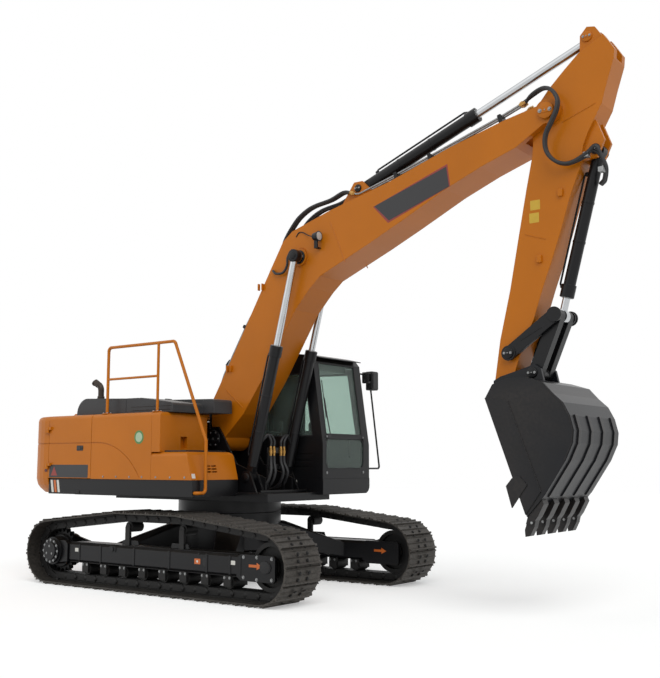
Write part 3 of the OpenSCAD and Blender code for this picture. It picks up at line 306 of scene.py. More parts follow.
def weld(bm, line, radius=7):
    """A weld bead along a line in mm, its scales laid one on the other about every 10 mm."""
    fine = []
    for a, b in zip(line, line[1:]):
        a, b = Vector(a), Vector(b)
        count = max(1, int((b - a).length / 10))
        fine += [a.lerp(b, i / count) for i in range(count)]
    fine.append(Vector(line[-1]))
    swept(bm, fine, radius, sides=6, swell=lambda i: 1.12 if i % 2 else 0.88)


def piece(name, build, material, body=None, edge=0):
    """An object of what build adds to a mesh, with its material, riding on its body. edge is in mm."""
    bm = bmesh.new()
    build(bm)
    bmesh.ops.recalc_face_normals(bm, faces=bm.faces)
    mesh = bpy.data.meshes.new(name)
    bm.to_mesh(mesh)
    bm.free()
    obj = bpy.data.objects.new(name, mesh)
    bpy.context.scene.collection.objects.link(obj)
    mesh.materials.append(bpy.data.materials[material])
    mesh.shade_smooth()
    mesh.set_sharp_from_angle(angle=math.radians(35))
    if edge:
        bevel = obj.modifiers.new("edge", "BEVEL")
        bevel.width = edge / 1000
        bevel.segments = 2
        bevel.limit_method = "ANGLE"
        bevel.angle_limit = math.radians(40)
    if body:
        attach(obj, body)
    return obj


def pieces(*table):
    """A piece for each row, which holds what piece takes."""
    for row in table:
        piece(*row)


# Materials: their shared parts

# Socket numbers of the Mix node when it mixes colours
MIX_A, MIX_B, MIX_RESULT = 6, 7, 2


def blotched(tree, place, colour, other, levels, size_mm, detail):
    """The colour with another over it, as far as the levels map their value, broken up at the given size."""
    level = add(tree, "ShaderNodeMapRange", levels)
    spots = add(tree, "ShaderNodeTexNoise", {"Vector": place, "Scale": per_metre(size_mm), "Detail": detail})
    share = add(tree, "ShaderNodeMath", {0: level.outputs[0], 1: spots.outputs["Fac"]}, operation="MULTIPLY")
    mix = {"Factor": share.outputs[0], MIX_A: colour, MIX_B: linear(other)}
    return add(tree, "ShaderNodeMix", mix, data_type="RGBA").outputs[MIX_RESULT]


def settled_dust(tree, place, colour, dust, amount):
    """The colour with dust on the faces that look up, in clouds of about 250 mm."""
    up = add(tree, "ShaderNodeSeparateXYZ", {"Vector": add(tree, "ShaderNodeNewGeometry").outputs["Normal"]})
    levels = {"Value": up.outputs["Z"], "From Min": 0.3, "To Max": amount}
    return blotched(tree, place, colour, dust, levels, 250, 5.0)


def faded(tree, place, code, size_mm, spread):
    """A colour that runs a little darker and lighter over patches of the given size."""
    patch = add(tree, "ShaderNodeTexNoise", {"Vector": place, "Scale": per_metre(size_mm), "Detail": 4.0})
    ramp = add(tree, "ShaderNodeValToRGB", {"Fac": patch.outputs["Fac"]})
    base = linear(code)
    for stop, share, at in zip(ramp.color_ramp.elements, (1 - spread, 1 + spread), (0.3, 0.7)):
        stop.position = at
        stop.color = [min(1, c * share) for c in base[:3]] + [1]
    return ramp.outputs["Color"]


def ripple(tree, skin, place, size_mm, height_mm, edge_mm=0):
    """Relief of the given grain on the shader, over edges that are rounded by edge_mm."""
    grain = add(tree, "ShaderNodeTexNoise", {"Vector": place, "Scale": per_metre(size_mm), "Detail": 2.0})
    relief = {"Height": grain.outputs["Fac"], "Distance": height_mm / 1000, "Strength": 0.6}
    bump = add(tree, "ShaderNodeBump", relief)
    if edge_mm:
        edge = add(tree, "ShaderNodeBevel", {"Radius": edge_mm / 1000}, samples=4)
        tree.links.new(edge.outputs[0], bump.inputs["Normal"])
    tree.links.new(bump.outputs[0], skin.inputs["Normal"])


def worn_edges(tree, place, colour, worn, amount):
    """The colour with rubbed spots of about 30 mm where the surface turns outward."""
    point = add(tree, "ShaderNodeNewGeometry").outputs["Pointiness"]
    levels = {"Value": point, "From Min": 0.52, "From Max": 0.6, "To Max": amount}
    return blotched(tree, place, colour, worn, levels, 30, 6.0)


def surface(name, code, patch, spread, sockets, grain=None, worn=None, dust=0):
    """A material whose colour runs over patches of so many mm, with worn edges or dust, and with its grain.

    sockets holds values of the shader, grain the size and height of the relief and the rounding of the edges
    in mm, and worn the colour and amount of the rubbed edges.
    """
    material, tree, skin = new_material(name)
    place = add(tree, "ShaderNodeTexCoord").outputs["Object"]
    colour = faded(tree, place, code, patch, spread)
    if worn:
        colour = worn_edges(tree, place, colour, *worn)
    if dust:
        colour = settled_dust(tree, place, colour, bpy.context.scene.excavator_finish.dust, dust)
    tree.links.new(colour, skin.inputs["Base Color"])
    for socket, value in sockets.items():
        skin.inputs[socket].default_value = value
    if grain:
        ripple(tree, skin, place, *grain)
    return material


# Materials, each named for what the real one is and how its surface was made


def painted_steel(finish):
    """The paints of the machine."""
    # two-part enamel sprayed on plate: half glossy, rippled like orange peel of 2 to 4 mm
    gloss = {"Roughness": 0.36, "Specular IOR Level": 0.22, "Coat Weight": 0.05, "Coat Roughness": 0.2}
    peel = (4, 0.15, 7)
    surface(ORANGE, finish.orange, 700, 0.05, gloss, peel, dust=0.12)
    surface(BLACK, finish.black, 700, 0.05, gloss, peel, dust=0.12)
    # the same enamel on the hood, dulled by heat and more dusty
    surface("sprayed_enamel_grey", finish.grey, 700, 0.05, {**gloss, "Roughness": 0.45}, peel, dust=0.3)
    # enamel over sand-cast iron: the mould's sand grain, drawn at 8 mm so that it shows, breaks up the light
    dull = {"Roughness": 0.45, "Specular IOR Level": 0.22}
    surface("painted_cast_iron_orange", finish.orange, 500, 0.06, dull, (8, 0.6, 12), dust=0.12)
    # wear plate under thin black paint: a bluish sheen, scoured brown and grey on the edges that dig
    thin = {"Roughness": 0.34, "Specular IOR Level": 0.25}
    surface("worn_bucket_steel", "0F1014", 200, 0.18, thin, (6, 0.3, 6), worn=("37322E", 0.7))


def bare_metal():
    """The metals without paint."""
    # hot-rolled manganese steel: dark scale and soil in spots of about 12 mm, brighter on rubbed edges
    shoe = {"Metallic": 0.55, "Roughness": 0.5}
    surface("rolled_shoe_steel", "0D0C0C", 60, 0.3, shoe, (12, 0.8, 4), worn=("5C5751", 1.0))
    # forged links and rollers: near black with oil and soil in crusts of about 10 mm, hardly any gloss
    surface(FORGED, "0C0B0A", 80, 0.35, {"Metallic": 0.3, "Roughness": 0.6}, (10, 0.8, 5))
    # ground and hard-chromed rod: a clear mirror, broken a little by grinding marks, drawn at 2 mm to show
    surface("hard_chrome_rod", "B9BBBD", 150, 0.04, {"Metallic": 1.0, "Roughness": 0.16}, (2, 0.02))
    # exhaust tube, rolled and welded, stained brown by heat
    surface("heat_stained_steel", "3A322C", 60, 0.35, {"Metallic": 0.6, "Roughness": 0.55}, (5, 0.3, 3))
    # cold-headed bolts and clamps with a zinc coat, dulled by weather, its grain drawn at 3 mm to show
    surface(ZINC, "8B8C8C", 25, 0.2, {"Metallic": 0.9, "Roughness": 0.42}, (3, 0.1))
    # hose fittings turned from bar, zinc plated, passivated brassy yellow, tool marks drawn at 2 mm to show
    surface(BRASSY, "B98E4E", 20, 0.2, {"Metallic": 0.85, "Roughness": 0.35}, (2, 0.08))


def rubber_plastic_and_glass():
    """Rubber, plastic, blank films, lenses and glass."""
    # pressure hose cured in cloth wrap, which leaves a fine cross pattern of about 3 mm
    surface(HOSE, "141416", 60, 0.2, {"Roughness": 0.55}, (3, 0.3))
    # extruded seals and moulded mats: deep black, dull, with a slight grain of about 5 mm
    surface(RUBBER, "0E0E10", 90, 0.2, {"Roughness": 0.7}, (5, 0.3))
    # injection-moulded trim with an etched grain of about 1.5 mm, drawn at 3 mm
    for name, code in ((PLASTIC, "1A1A1C"), ("moulded_plastic_grey", "6E6F6C")):
        surface(name, code, 120, 0.06, {"Roughness": 0.55}, (3, 0.2, 3))
    # cast vinyl film, blank, pressed on by hand: even colour, a little wavy
    films = {
        "white": "D8D6CE", "orange": "C8641E", "green": "4E7D3C", "pale_green": "A9BFA0", "black": "17171A",
        "red": "8C2A20", "yellow": "C9A227",
    }
    for film, code in films.items():
        surface(f"vinyl_film_{film}", code, 80, 0.04, {"Roughness": 0.35}, (30, 0.2))
    # injection-moulded polycarbonate with a ribbed inside
    for lens, code in (("red", "7A1D18"), ("clear", "E6E8E4")):
        clear = {"Roughness": 0.12, "Transmission Weight": 0.4}
        surface(f"moulded_lens_{lens}", code, 30, 0.08, clear, (7, 0.4))
    # float glass, heat-tempered and tinted: flat, clear, pale green in its thickness
    pane = {"Transmission Weight": 0.92, "Roughness": 0.03, "IOR": 1.2}
    surface("tempered_glass", "C9DAD2", 900, 0.02, pane)
    # mirror glass, silvered behind a thin pane: a clear, even mirror
    surface("silvered_glass", "C9CED2", 300, 0.02, {"Metallic": 1.0, "Roughness": 0.04})


def woven_seat_cloth(name):
    """Polyester seat cloth, woven with a thread of about 1 mm, drawn at 11 mm so that it shows."""
    material, tree, skin = new_material(name)
    place = add(tree, "ShaderNodeTexCoord").outputs["Object"]
    # a band of this texture is 0.31 of the size asked for
    weave = add(tree, "ShaderNodeTexWave", {"Vector": place, "Scale": per_metre(36), "Distortion": 1.5})
    bump = add(tree, "ShaderNodeBump", {"Height": weave.outputs["Fac"], "Distance": 0.001})
    tree.links.new(faded(tree, place, "26272B", 40, 0.2), skin.inputs["Base Color"])
    tree.links.new(bump.outputs[0], skin.inputs["Normal"])
    skin.inputs["Roughness"].default_value = 0.9
    skin.inputs["Sheen Weight"].default_value = 0.3
    return material


def background_rays(tree):
    """One for the rays that see the background as white: the lens, gloss and glass. Nought for the light."""
    path = add(tree, "ShaderNodeLightPath")
    seen = path.outputs["Is Camera Ray"]
    for ray in ("Is Glossy Ray", "Is Transmission Ray"):
        seen = add(tree, "ShaderNodeMath", {0: seen, 1: path.outputs[ray]}, operation="MAXIMUM").outputs[0]
    return seen


def expanded_grip_steel(name):
    """Punched step plates with sharp raised teeth, painted black and rubbed on the points."""
    material, tree, skin = new_material(name)
    place = add(tree, "ShaderNodeTexCoord").outputs["Object"]
    teeth = add(tree, "ShaderNodeTexVoronoi", {"Vector": place, "Scale": per_metre(14), "Randomness": 0.15})
    bump = add(tree, "ShaderNodeBump", {"Height": teeth.outputs["Distance"], "Distance": 0.003})
    ramp = add(tree, "ShaderNodeValToRGB", {"Fac": teeth.outputs["Distance"]})
    ramp.color_ramp.elements[0].color = linear("5A5A58")
    ramp.color_ramp.elements[1].color = linear("161617")
    ramp.color_ramp.elements[1].position = 0.35
    tree.links.new(ramp.outputs["Color"], skin.inputs["Base Color"])
    tree.links.new(bump.outputs[0], skin.inputs["Normal"])
    skin.inputs["Metallic"].default_value = 0.3
    skin.inputs["Roughness"].default_value = 0.6
    return material


def poured_floor(name):
    """Pale poured floor, white to the lens away from the machine, with the machine's shadow on it."""
    material, tree, skin = new_material(name)
    place = add(tree, "ShaderNodeTexCoord").outputs["Object"]
    tree.links.new(faded(tree, place, "F2F2F0", 1500, 0.01), skin.inputs["Base Color"])
    skin.inputs["Roughness"].default_value = 0.9
    skin.inputs["Specular IOR Level"].default_value = 0.1
    glow = add(tree, "ShaderNodeEmission", {"Color": linear("FFFFFF"), "Strength": 0.35})
    dark = add(tree, "ShaderNodeBsdfTransparent", {"Color": (0, 0, 0, 1)})
    choice = {0: background_rays(tree), 1: dark.outputs[0], 2: glow.outputs[0]}
    pick = add(tree, "ShaderNodeMixShader", choice)
    both = add(tree, "ShaderNodeAddShader", {0: skin.outputs[0], 1: pick.outputs[0]})
    tree.links.new(both.outputs[0], tree.nodes["Material Output"].inputs["Surface"])
    return material


# Which finish each CAD node takes
NODE_FINISH = {
    ORANGE: [
        "right_panel", "fuel_tank", "tool_box", "left_panel", "top_deck", "pump_door", "left_door",
        "handrail", "boom", "arm",
    ],
    "painted_cast_iron_orange": ["counterweight"],
    BLACK: [
        "track_frame", "sprockets", "upper_frame", "cab_shell", "cab_door", "boom_pin", "boom_barrels",
        "arm_barrel", "bucket_barrel", "side_links", "bucket_link", "mirror_rail", "boom_lamp",
    ],
    "sprayed_enamel_grey": ["hood_fixed", "hood_lid", "hood_side"],
    "rolled_shoe_steel": ["track_right", "track_left"],
    FORGED: ["track_chains", "idlers", "rollers", "engine"],
    "hard_chrome_rod": ["boom_rods", "arm_rod", "bucket_rod"],
    "worn_bucket_steel": ["bucket", "bucket_teeth"],
    "tempered_glass": ["door_glass", "cab_glass"],
    "woven_seat_cloth": ["seat"],
    PLASTIC: ["controls"],
    "heat_stained_steel": ["exhaust"],
}


class EXCAVATOR_OT_finishes(bpy.types.Operator):
    """Gives every CAD node the material that the real piece has"""

    bl_idname = "excavator.finishes"
    bl_label = "Finishes"

    def execute(self, context):
        painted_steel(context.scene.excavator_finish)
        bare_metal()
        rubber_plastic_and_glass()
        woven_seat_cloth("woven_seat_cloth")
        expanded_grip_steel("expanded_grip_steel")
        for name, nodes in NODE_FINISH.items():
            for node in nodes:
                for holder in frame["nodes"][node].material_slots:
                    holder.material = bpy.data.materials[name]
        left = [n for n in frame["nodes"] if not any(n in group for group in NODE_FINISH.values())]
        if left:
            raise RuntimeError(f"no finish for {left}")
        return {"FINISHED"}


class EXCAVATOR_OT_stage(bpy.types.Operator):
    """Puts in the pale floor, the soft lamps, the white surroundings and the camera"""

    bl_idname = "excavator.stage"
    bl_label = "Stage"

    FLOOR_HALF = 40.0

    def execute(self, context):
        stage = context.scene.excavator_stage
        bm = bmesh.new()
        bmesh.ops.create_grid(bm, x_segments=1, y_segments=1, size=self.FLOOR_HALF)
        mesh = bpy.data.meshes.new("floor")
        bm.to_mesh(mesh)
        bm.free()
        floor = bpy.data.objects.new("floor", mesh)
        context.scene.collection.objects.link(floor)
        floor.data.materials.append(poured_floor("poured_floor"))
        self.surroundings(context, stage)
        # name, direction the light comes from, angle of the soft source in degrees, share of the key
        lamps = [("key_lamp", (0.55, -0.5, 0.75), 50, 1.0), ("fill_lamp", (-0.6, -0.7, 0.5), 60, 0.25)]
        for name, source, spread, share in lamps:
            lamp = bpy.data.objects.new(name, bpy.data.lights.new(name, "SUN"))
            lamp.data.energy = stage.key * share
            lamp.data.angle = math.radians(spread)
            lamp.rotation_euler = Vector(source).to_track_quat("Z", "Y").to_euler()
            context.scene.collection.objects.link(lamp)
        camera = bpy.data.objects.new("camera", bpy.data.cameras.new("camera"))
        camera.data.sensor_fit = "HORIZONTAL"
        camera.data.sensor_width = 36
        camera.data.lens = stage.lens
        camera.location = stage.eye
        camera.rotation_euler = (math.radians(90 + stage.tilt), 0, math.radians(stage.turn))
        context.scene.collection.objects.link(camera)
        context.scene.camera = camera
        context.scene.view_settings.view_transform = "Standard"
        return {"FINISHED"}

    def surroundings(self, context, stage):
        """White to the camera and in gloss and glass, soft light for the rest."""
        world = bpy.data.worlds.new("surroundings")
        context.scene.world = world
        world.use_nodes = True
        tree = world.node_tree
        soft = tree.nodes["Background"]
        soft.inputs["Color"].default_value = linear("F4F7FA")
        soft.inputs["Strength"].default_value = stage.sky
        white = add(tree, "ShaderNodeBackground", {"Color": linear("FFFFFF"), "Strength": 1.0})
        choice = {0: background_rays(tree), 1: soft.outputs[0], 2: white.outputs[0]}
        pick = add(tree, "ShaderNodeMixShader", choice)
        tree.links.new(pick.outputs[0], tree.nodes["World Output"].inputs["Surface"])


# Undercarriage

TRACK_SIDES = {"right": -1190, "left": 1190}
# place of the sprocket behind and the idler in front, and half the width of a side frame, in mm
WHEEL_X, WHEEL_Z, FRAME_HALF = 1780, 405, 150


def shoe_loop():
    """Steps round the shoe plates: (x, z), the way the loop runs, the way outward, and the pitch, in mm."""
    half, grouser, carrier, count = WHEEL_X, 26, 520, 50
    low, high = (Vector(c) * 1000 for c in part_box("track_right"))
    wheel_z, top = (high.x - low.x) / 2 - half, high.z - grouser
    rb = wheel_z - grouser
    span = math.hypot(carrier - half, top - wheel_z)
    tilt = math.atan2(top - wheel_z, carrier - half) - math.acos(rb / span)
    line = [Vector((-half + 2 * half * i / 400, grouser)) for i in range(400)]
    for i in range(81):
        t = -math.pi / 2 + (tilt + math.pi / 2) * i / 80
        line.append(Vector((half + rb * math.cos(t), wheel_z + rb * math.sin(t))))
    line += [line[-1].lerp(Vector((carrier, top)), i / 100) for i in range(1, 101)]
    line += [Vector((carrier - 2 * carrier * i / 100, top)) for i in range(1, 101)]
    line += [Vector((-p.x, p.y)) for p in line[400:581][::-1]]
    total = sum((b - a).length for a, b in zip(line, [*line[1:], line[0]]))
    steps, walked, mark = [], 0.0, 0.0
    pitch = total / count
    for a, b in zip(line, [*line[1:], line[0]]):
        length = (b - a).length
        while length and mark < walked + length and len(steps) < count:
            q = a.lerp(b, (mark - walked) / length)
            run = (b - a).normalized()
            steps.append((q, run, Vector((run.y, -run.x)), pitch))
            mark += pitch
        walked += length
    return steps


class EXCAVATOR_OT_tracks(bpy.types.Operator):
    """Puts the shoe bolts, the chain's links and the small pieces of the side frames on the undercarriage"""

    bl_idname = "excavator.tracks"
    bl_label = "Tracks"

    # bottom rollers on each side
    ROLLERS = 8
    # middle of the lashing plate and of the round patch on a side frame
    LASHING_X, PATCH = -677, (754, 414)

    def execute(self, context):
        loop = shoe_loop()
        across = context.scene.excavator_sizes.bolt * 1000
        for side, y in TRACK_SIDES.items():
            table = [
                ("shoe_bolts", lambda bm: self.bolts(bm, loop, y, across), FORGED, 0),
                ("chain_links", lambda bm: self.links(bm, loop, y), FORGED, 2),
                ("frame_bolts", lambda bm: self.frame_bolts(bm, y), ZINC, 0),
                ("frame_plates", lambda bm: self.plates(bm, y), BLACK, 3),
                ("frame_welds", lambda bm: self.welds(bm, y), BLACK, 0),
            ]
            for name, build, finish, edge in table:
                piece(f"{name}_{side}", build, finish, "undercarriage", edge)
            self.marks(side, y)
        return {"FINISHED"}

    def bolts(self, bm, loop, y, across):
        """Two pairs of bolts on each shoe, between its grousers."""
        for q, run, out, pitch in loop:
            for share in (0.29, 0.69):
                at = q + run * pitch * share + out * 3
                for dy in (-78, 78):
                    bolt(bm, mm(at.x, y + dy, at.y), (out.x, 0, out.y), across)

    def links(self, bm, loop, y):
        """Forged link plates outside the chain, each lapping the next, with the pin's boss."""
        plate = [(-0.6, -26), (-0.35, -44), (0.35, -44), (0.6, -26)]
        plate += [(0.6, 20), (0.4, 30), (-0.4, 30), (-0.6, 20)]
        for i, (q, run, out, pitch) in enumerate(loop):
            centre = q + run * pitch * 0.5 - out * 62
            lap = 6 if i % 2 else 0
            shape = [tuple(centre + run * pitch * u + out * v) for u, v in plate]
            for s in (-1, 1):
                face = y + s * (105 + lap)
                slab(bm, shape, "XZ", face - 4 * s, face + 12 * s)
                pin = centre + run * pitch * 0.5 - out * 6
                turned(bm, mm(pin.x, face, pin.y), (0, s, 0), [(0, 24), (20, 24), (22, 20)], sides=12)

    def frame_bolts(self, bm, y):
        """Bolts of the roller brackets, the final drive's cover and the idler's plate."""
        s = sign(y)
        face = y + s * FRAME_HALF
        for count, radius, out, across in ((12, 135, 225, 24), (3, 60, 243, 20)):
            for i in range(count):
                u, v = around(radius, 90 + 360 * i / count)
                bolt(bm, mm(u - WHEEL_X, y + s * out, v + WHEEL_Z), (0, s, 0), across)
        for x, z in [(1450, 500), (1450, 285), (1640, 506), (1640, 272), (1850, 500), (1850, 280)]:
            bolt(bm, mm(x, face, z), (0, s, 0), 26)
        for i in range(self.ROLLERS):
            x = -1200 + i * 2400 / (self.ROLLERS - 1)
            for dx in (-38, 38):
                for t in (-1, 1):
                    bolt(bm, mm(x + dx, y + t * 138, 262), (0, t, 0), 22)

    def plates(self, bm, y):
        """Guards and covers on the outer face of a side frame, and its two steps."""
        s = sign(y)
        face = y + s * FRAME_HALF
        slab(bm, rounded(self.LASHING_X - 60, 440, self.LASHING_X + 60, 510, 20), "XZ", face, face + 8 * s)
        slab(bm, disc(-1785, 400, 206), "XZ", y + s * 62, y + s * 70)
        cheek = [(-1733, 330), (-1690, 260), (-1511, 285), (-1511, 500), (-1560, 540), (-1733, 540)]
        slab(bm, cheek, "XZ", face - 60 * s, face + 22 * s)
        for x in (-420, 420):
            step = [(x - 150, 530), (x + 150, 530), (x + 130, 590), (x - 130, 590)]
            slab(bm, step, "XZ", face - 60 * s, face - 50 * s)
        for x in (-1300, -900, -300, 300, 900, 1250):
            slab(bm, rounded(x - 16, 300, x + 16, 508, 8), "XZ", face, face + 6 * s)

    def welds(self, bm, y):
        """Beads where the side frame's plates and the legs meet."""
        s = sign(y)
        face = y + s * FRAME_HALF
        for z in (524, 283):
            weld(bm, [(-1500, face - 26 * s, z), (1350, face - 26 * s, z)], 6)
        weld(bm, [(1410, face, 524), (1410, face, 300)], 7)
        inner = y - s * 152
        for x in (-1, 1):
            for leg in (710, 1050):
                weld(bm, [(x * leg, inner, 320), (x * leg, inner, 490)], 8)

    def marks(self, side, y):
        """Blank film patches, the arrow that shows the front, a black oval that is painted shade of a dark
        hole in the side frame, small round caps and the lashing points.
        """
        s = sign(y)
        face = y + s * FRAME_HALF
        arrow = [(1528, 398), (1640, 398), (1640, 374), (1714, 412), (1640, 450), (1640, 427), (1528, 427)]

        def patches(bm, *places):
            for x, z, r in places:
                slab(bm, rounded(x - r, z - r * 0.66, x + r, z + r * 0.66, 6), "XZ", face, face + 1.5 * s)

        def arrows(bm):
            for t in (-1, 1):
                slab(bm, arrow, "XZ", y + t * FRAME_HALF, y + t * (FRAME_HALF + 1.5))

        def centre(bm):
            slab(bm, disc(*self.PATCH, 14), "XZ", face + 1.5 * s, face + 2.6 * s)

        def covers(bm):
            # a black oval 5 mm proud of the face: painted shade of the dark hole in the side frame
            slab(bm, rounded(840, 366, 902, 466, 30), "XZ", face, face + 5 * s)
            turned(bm, mm(776, face, 500), (0, s, 0), [(0, 13), (6, 13), (8, 10)], sides=14)
            lashing = mm(self.LASHING_X, face + 8 * s, 475)
            turned(bm, lashing, (0, s, 0), [(0, 26), (10, 26), (13, 20)], sides=18)
            turned(bm, mm(1755, face, 405), (0, s, 0), [(0, 68), (9, 68), (12, 62)], sides=28)

        white, orange = "vinyl_film_white", "vinyl_film_orange"
        table = [
            ("frame_film_white", lambda bm: patches(bm, (-1351, 434, 34), (1295, 430, 34)), white),
            ("frame_film_orange", lambda bm: patches(bm, (*self.PATCH, 46)), orange),
            ("frame_film_centre", centre, white),
            ("frame_arrow", arrows, orange),
            ("hole_shade_and_caps", covers, RUBBER),
        ]
        for name, build, finish in table:
            piece(f"{name}_{side}", build, finish, "undercarriage")


# Upper structure

# outer faces of the side panels, top of the deck, and the handrail's two posts and the top of their feet
RIGHT, LEFT = -1354, 1354
DECK_TOP = 2119
POSTS, FEET_TOP = (-905, 0), 2130


class EXCAVATOR_OT_body(bpy.types.Operator):
    """Puts latches, blank films, grips, caps, vents and lamps on the upper structure's panels"""

    bl_idname = "excavator.body"
    bl_label = "Body"

    def execute(self, context):
        piece("door_latch_right", lambda bm: self.latch(bm, RIGHT), PLASTIC, "pump_door", 2)
        piece("door_latch_left", lambda bm: self.latch(bm, LEFT), PLASTIC, "left_door", 2)
        self.films()
        pieces(
            ("tank_fittings", self.tank, BLACK, "upper", 2),
            ("grip_plates", self.grips, "expanded_grip_steel", "upper", 2),
            ("rail_feet", self.rail_feet, ORANGE, "upper", 2),
            ("body_bolts", self.bolts, ZINC, "upper"),
            ("lifting_eyes", self.eyes, "painted_cast_iron_orange", "upper", 3),
            ("tail_lamps", self.lamps, "moulded_lens_red", "upper", 2),
            ("lamp_frames", self.lamp_frames, RUBBER, "upper", 2),
            ("hood_fittings", self.hood, PLASTIC, "hood_lid", 2),
            ("hood_ribs", self.ribs, "sprayed_enamel_grey", "upper", 3),
            ("exhaust_mouth", self.exhaust, "heat_stained_steel", "upper"),
            ("tank_seams", self.seams, ORANGE, "upper"),
        )
        return {"FINISHED"}

    def latch(self, bm, side):
        """A flush paddle latch with its keyhole."""
        x, z = -1335, 1700
        s = sign(side)
        slab(bm, rounded(x - 62, z - 32, x + 62, z + 32, 10), "XZ", side, side + 5 * s)
        slab(bm, rounded(x - 50, z - 20, x + 20, z + 20, 8), "XZ", side + 5 * s, side + 10 * s)
        turned(bm, mm(x + 42, side + 5 * s, z), (0, s, 0), [(0, 12), (7, 12), (8, 9)], sides=14)

    def films(self):
        """Blank films: no lettering on any of them. The white sliver at the tool box's crease is no film but
        a painted highlight.
        """
        # name, outline, face it lies on, thickness, colour, body
        plates = [
            ("film_green", disc(-244, 1820, 82), RIGHT, 1.2, "green", "upper"),
            ("film_green_core", disc(-244, 1820, 58), RIGHT - 1.2, 1.2, "pale_green", "upper"),
            ("film_band_door", rounded(-1940, 1329, -1170, 1491, 8), RIGHT, 1.2, "black", "pump_door"),
            (
                "film_band_triangle", [(-1905, 1352), (-1775, 1352), (-1840, 1468)], RIGHT - 1.2, 1.0, "red",
                "pump_door",
            ),
            # a 2 mm white sliver along the tool box's crease: painted highlight of the light line on that
            # edge
            ("painted_highlight_crease", [(644, 1336), (630, 1388), (632, 1388), (646, 1336)], -1336, -54, "white", "upper"),
        ]
        for i, (x, tint) in enumerate([(-1900, "white"), (-1838, "orange"), (-1776, "white")]):
            slant = [(x, 1140), (x + 42, 1140), (x + 10, 1296), (x - 32, 1296)]
            plates.append((f"film_slant_{i}", slant, RIGHT + 20, 1.2, tint, "upper"))
        for name, outline, depth, thick, tint, body in plates:
            piece(name, lambda bm: slab(bm, outline, "XZ", depth, depth - thick), f"vinyl_film_{tint}", body)
        piece("rear_reflectors", self.reflectors, "moulded_lens_red", "upper")

    def reflectors(self, bm):
        """A reflector at the back of each side panel."""
        for s in (-1, 1):
            slab(bm, rounded(-2034, 1400, -1986, 1470, 6), "XZ", s * 1352, s * 1357)

    def tank(self, bm):
        """Filler cap and breather of the fuel tank."""
        cap = [(0, 60), (12, 60), (12, 52), (34, 52), (40, 46), (42, 24)]
        turned(bm, mm(42, -700, DECK_TOP), (0, 0, 1), cap, sides=28)
        turned(bm, mm(42, -860, DECK_TOP), (0, 0, 1), [(0, 26), (12, 26), (16, 18)], sides=20)

    def grips(self, bm):
        """The grip plate on the tool box, for the feet."""
        slab(bm, rounded(140, -1300, 500, -620, 12), "XY", 1641, 1660)

    def rail_feet(self, bm):
        """Feet of the handrail's posts."""
        for x in POSTS:
            slab(bm, rounded(x - 50, -1334, x + 50, -1258, 10), "XY", DECK_TOP + 1, FEET_TOP)

    def bolts(self, bm):
        """Bolts of the rail's feet, of the top deck and along the side panels."""
        for x in POSTS:
            for dx in (-36, 36):
                for y in (-1322, -1270):
                    bolt(bm, mm(x + dx, y, FEET_TOP), (0, 0, 1), 18)
        for x in (-1860, -1780, -1690):
            for y in (-300, 0, 300):
                bolt(bm, mm(x, y, DECK_TOP), (0, 0, 1), 26)
        for x in (-880, -640, -400, -180, 60, 300, 540):
            bolt(bm, mm(x, RIGHT, 1345), (0, -1, 0), 18)
        for x in (-880, -640):
            bolt(bm, mm(x, LEFT, 1345), (0, 1, 0), 18)

    def eyes(self, bm):
        """Lifting eyes on the counterweight."""
        plate = [(-2300, 2110), (-2290, 2160), (-2255, 2185), (-2215, 2185), (-2180, 2160), (-2170, 2110)]
        for y in (-700, 700):
            slab(bm, plate, "XZ", y - 16, y + 16)
            turned(bm, mm(-2235, y - 20, 2145), (0, 1, 0), [(0, 30), (40, 30)], sides=18)

    def lamp_frames(self, bm):
        """Rubber rings round the two tail lamps."""
        self.pair(bm, -2742, [(-20, 62), (12, 62), (14, 54)])

    def lamps(self, bm):
        """The crowned lenses of the tail lamps."""
        self.pair(bm, -2754, [(0, 52), (6, 48), (9, 30), (10, 8)])

    def pair(self, bm, x, profile):
        """Two round pieces on the counterweight, facing back."""
        for y in (-420, 420):
            turned(bm, mm(x, y, 1520), (-1, 0, 0), profile, sides=24)

    def hood(self, bm):
        """Handle, latches and louvres of the engine lid."""
        handle = [(-1560, -130, 2300), (-1640, -130, 2330), (-1640, 130, 2330), (-1560, 130, 2300)]
        swept(bm, bent(handle, 30), 9)
        for y in (-640, 640):
            slab(bm, rounded(-1380, y - 40, -1290, y + 40, 10), "XY", 2334, 2344)
        for k in range(9):
            slab(bm, rounded(-1180 + k * 42, -420, -1162 + k * 42, 420, 6), "XY", 2326, 2333)

    def ribs(self, bm):
        """Pressed ribs along the side of the hood."""
        for z in (2152, 2196):
            slab(bm, rounded(-560, z, 150, z + 10, 4), "XZ", -1204, -1210)

    def exhaust(self, bm):
        """The open mouth: a rolled rim round the dark inside, and the clamp at its foot."""
        low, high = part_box("exhaust")
        mouth = Vector((low[0], -1.0, high[2] - 0.03)) * 1000
        way = Vector((-118, 0, 70)).normalized()
        base = mouth + Vector((14, 0, -18))
        turned(bm, (base - way * 4) / 1000, way, [(0, 42), (16, 42), (16, 34), (-60, 33)], sides=28)
        x = (high[0] - 0.052) * 1000
        turned(bm, mm(x, -1000, 2350), (0, 0, 1), [(0, 44), (6, 46), (22, 46), (28, 44)], sides=28)

    def seams(self, bm):
        """The welded seam where the fuel tank stands on the tool box."""
        weld(bm, [(122, -1300, 1644), (122, -620, 1644)], 4)


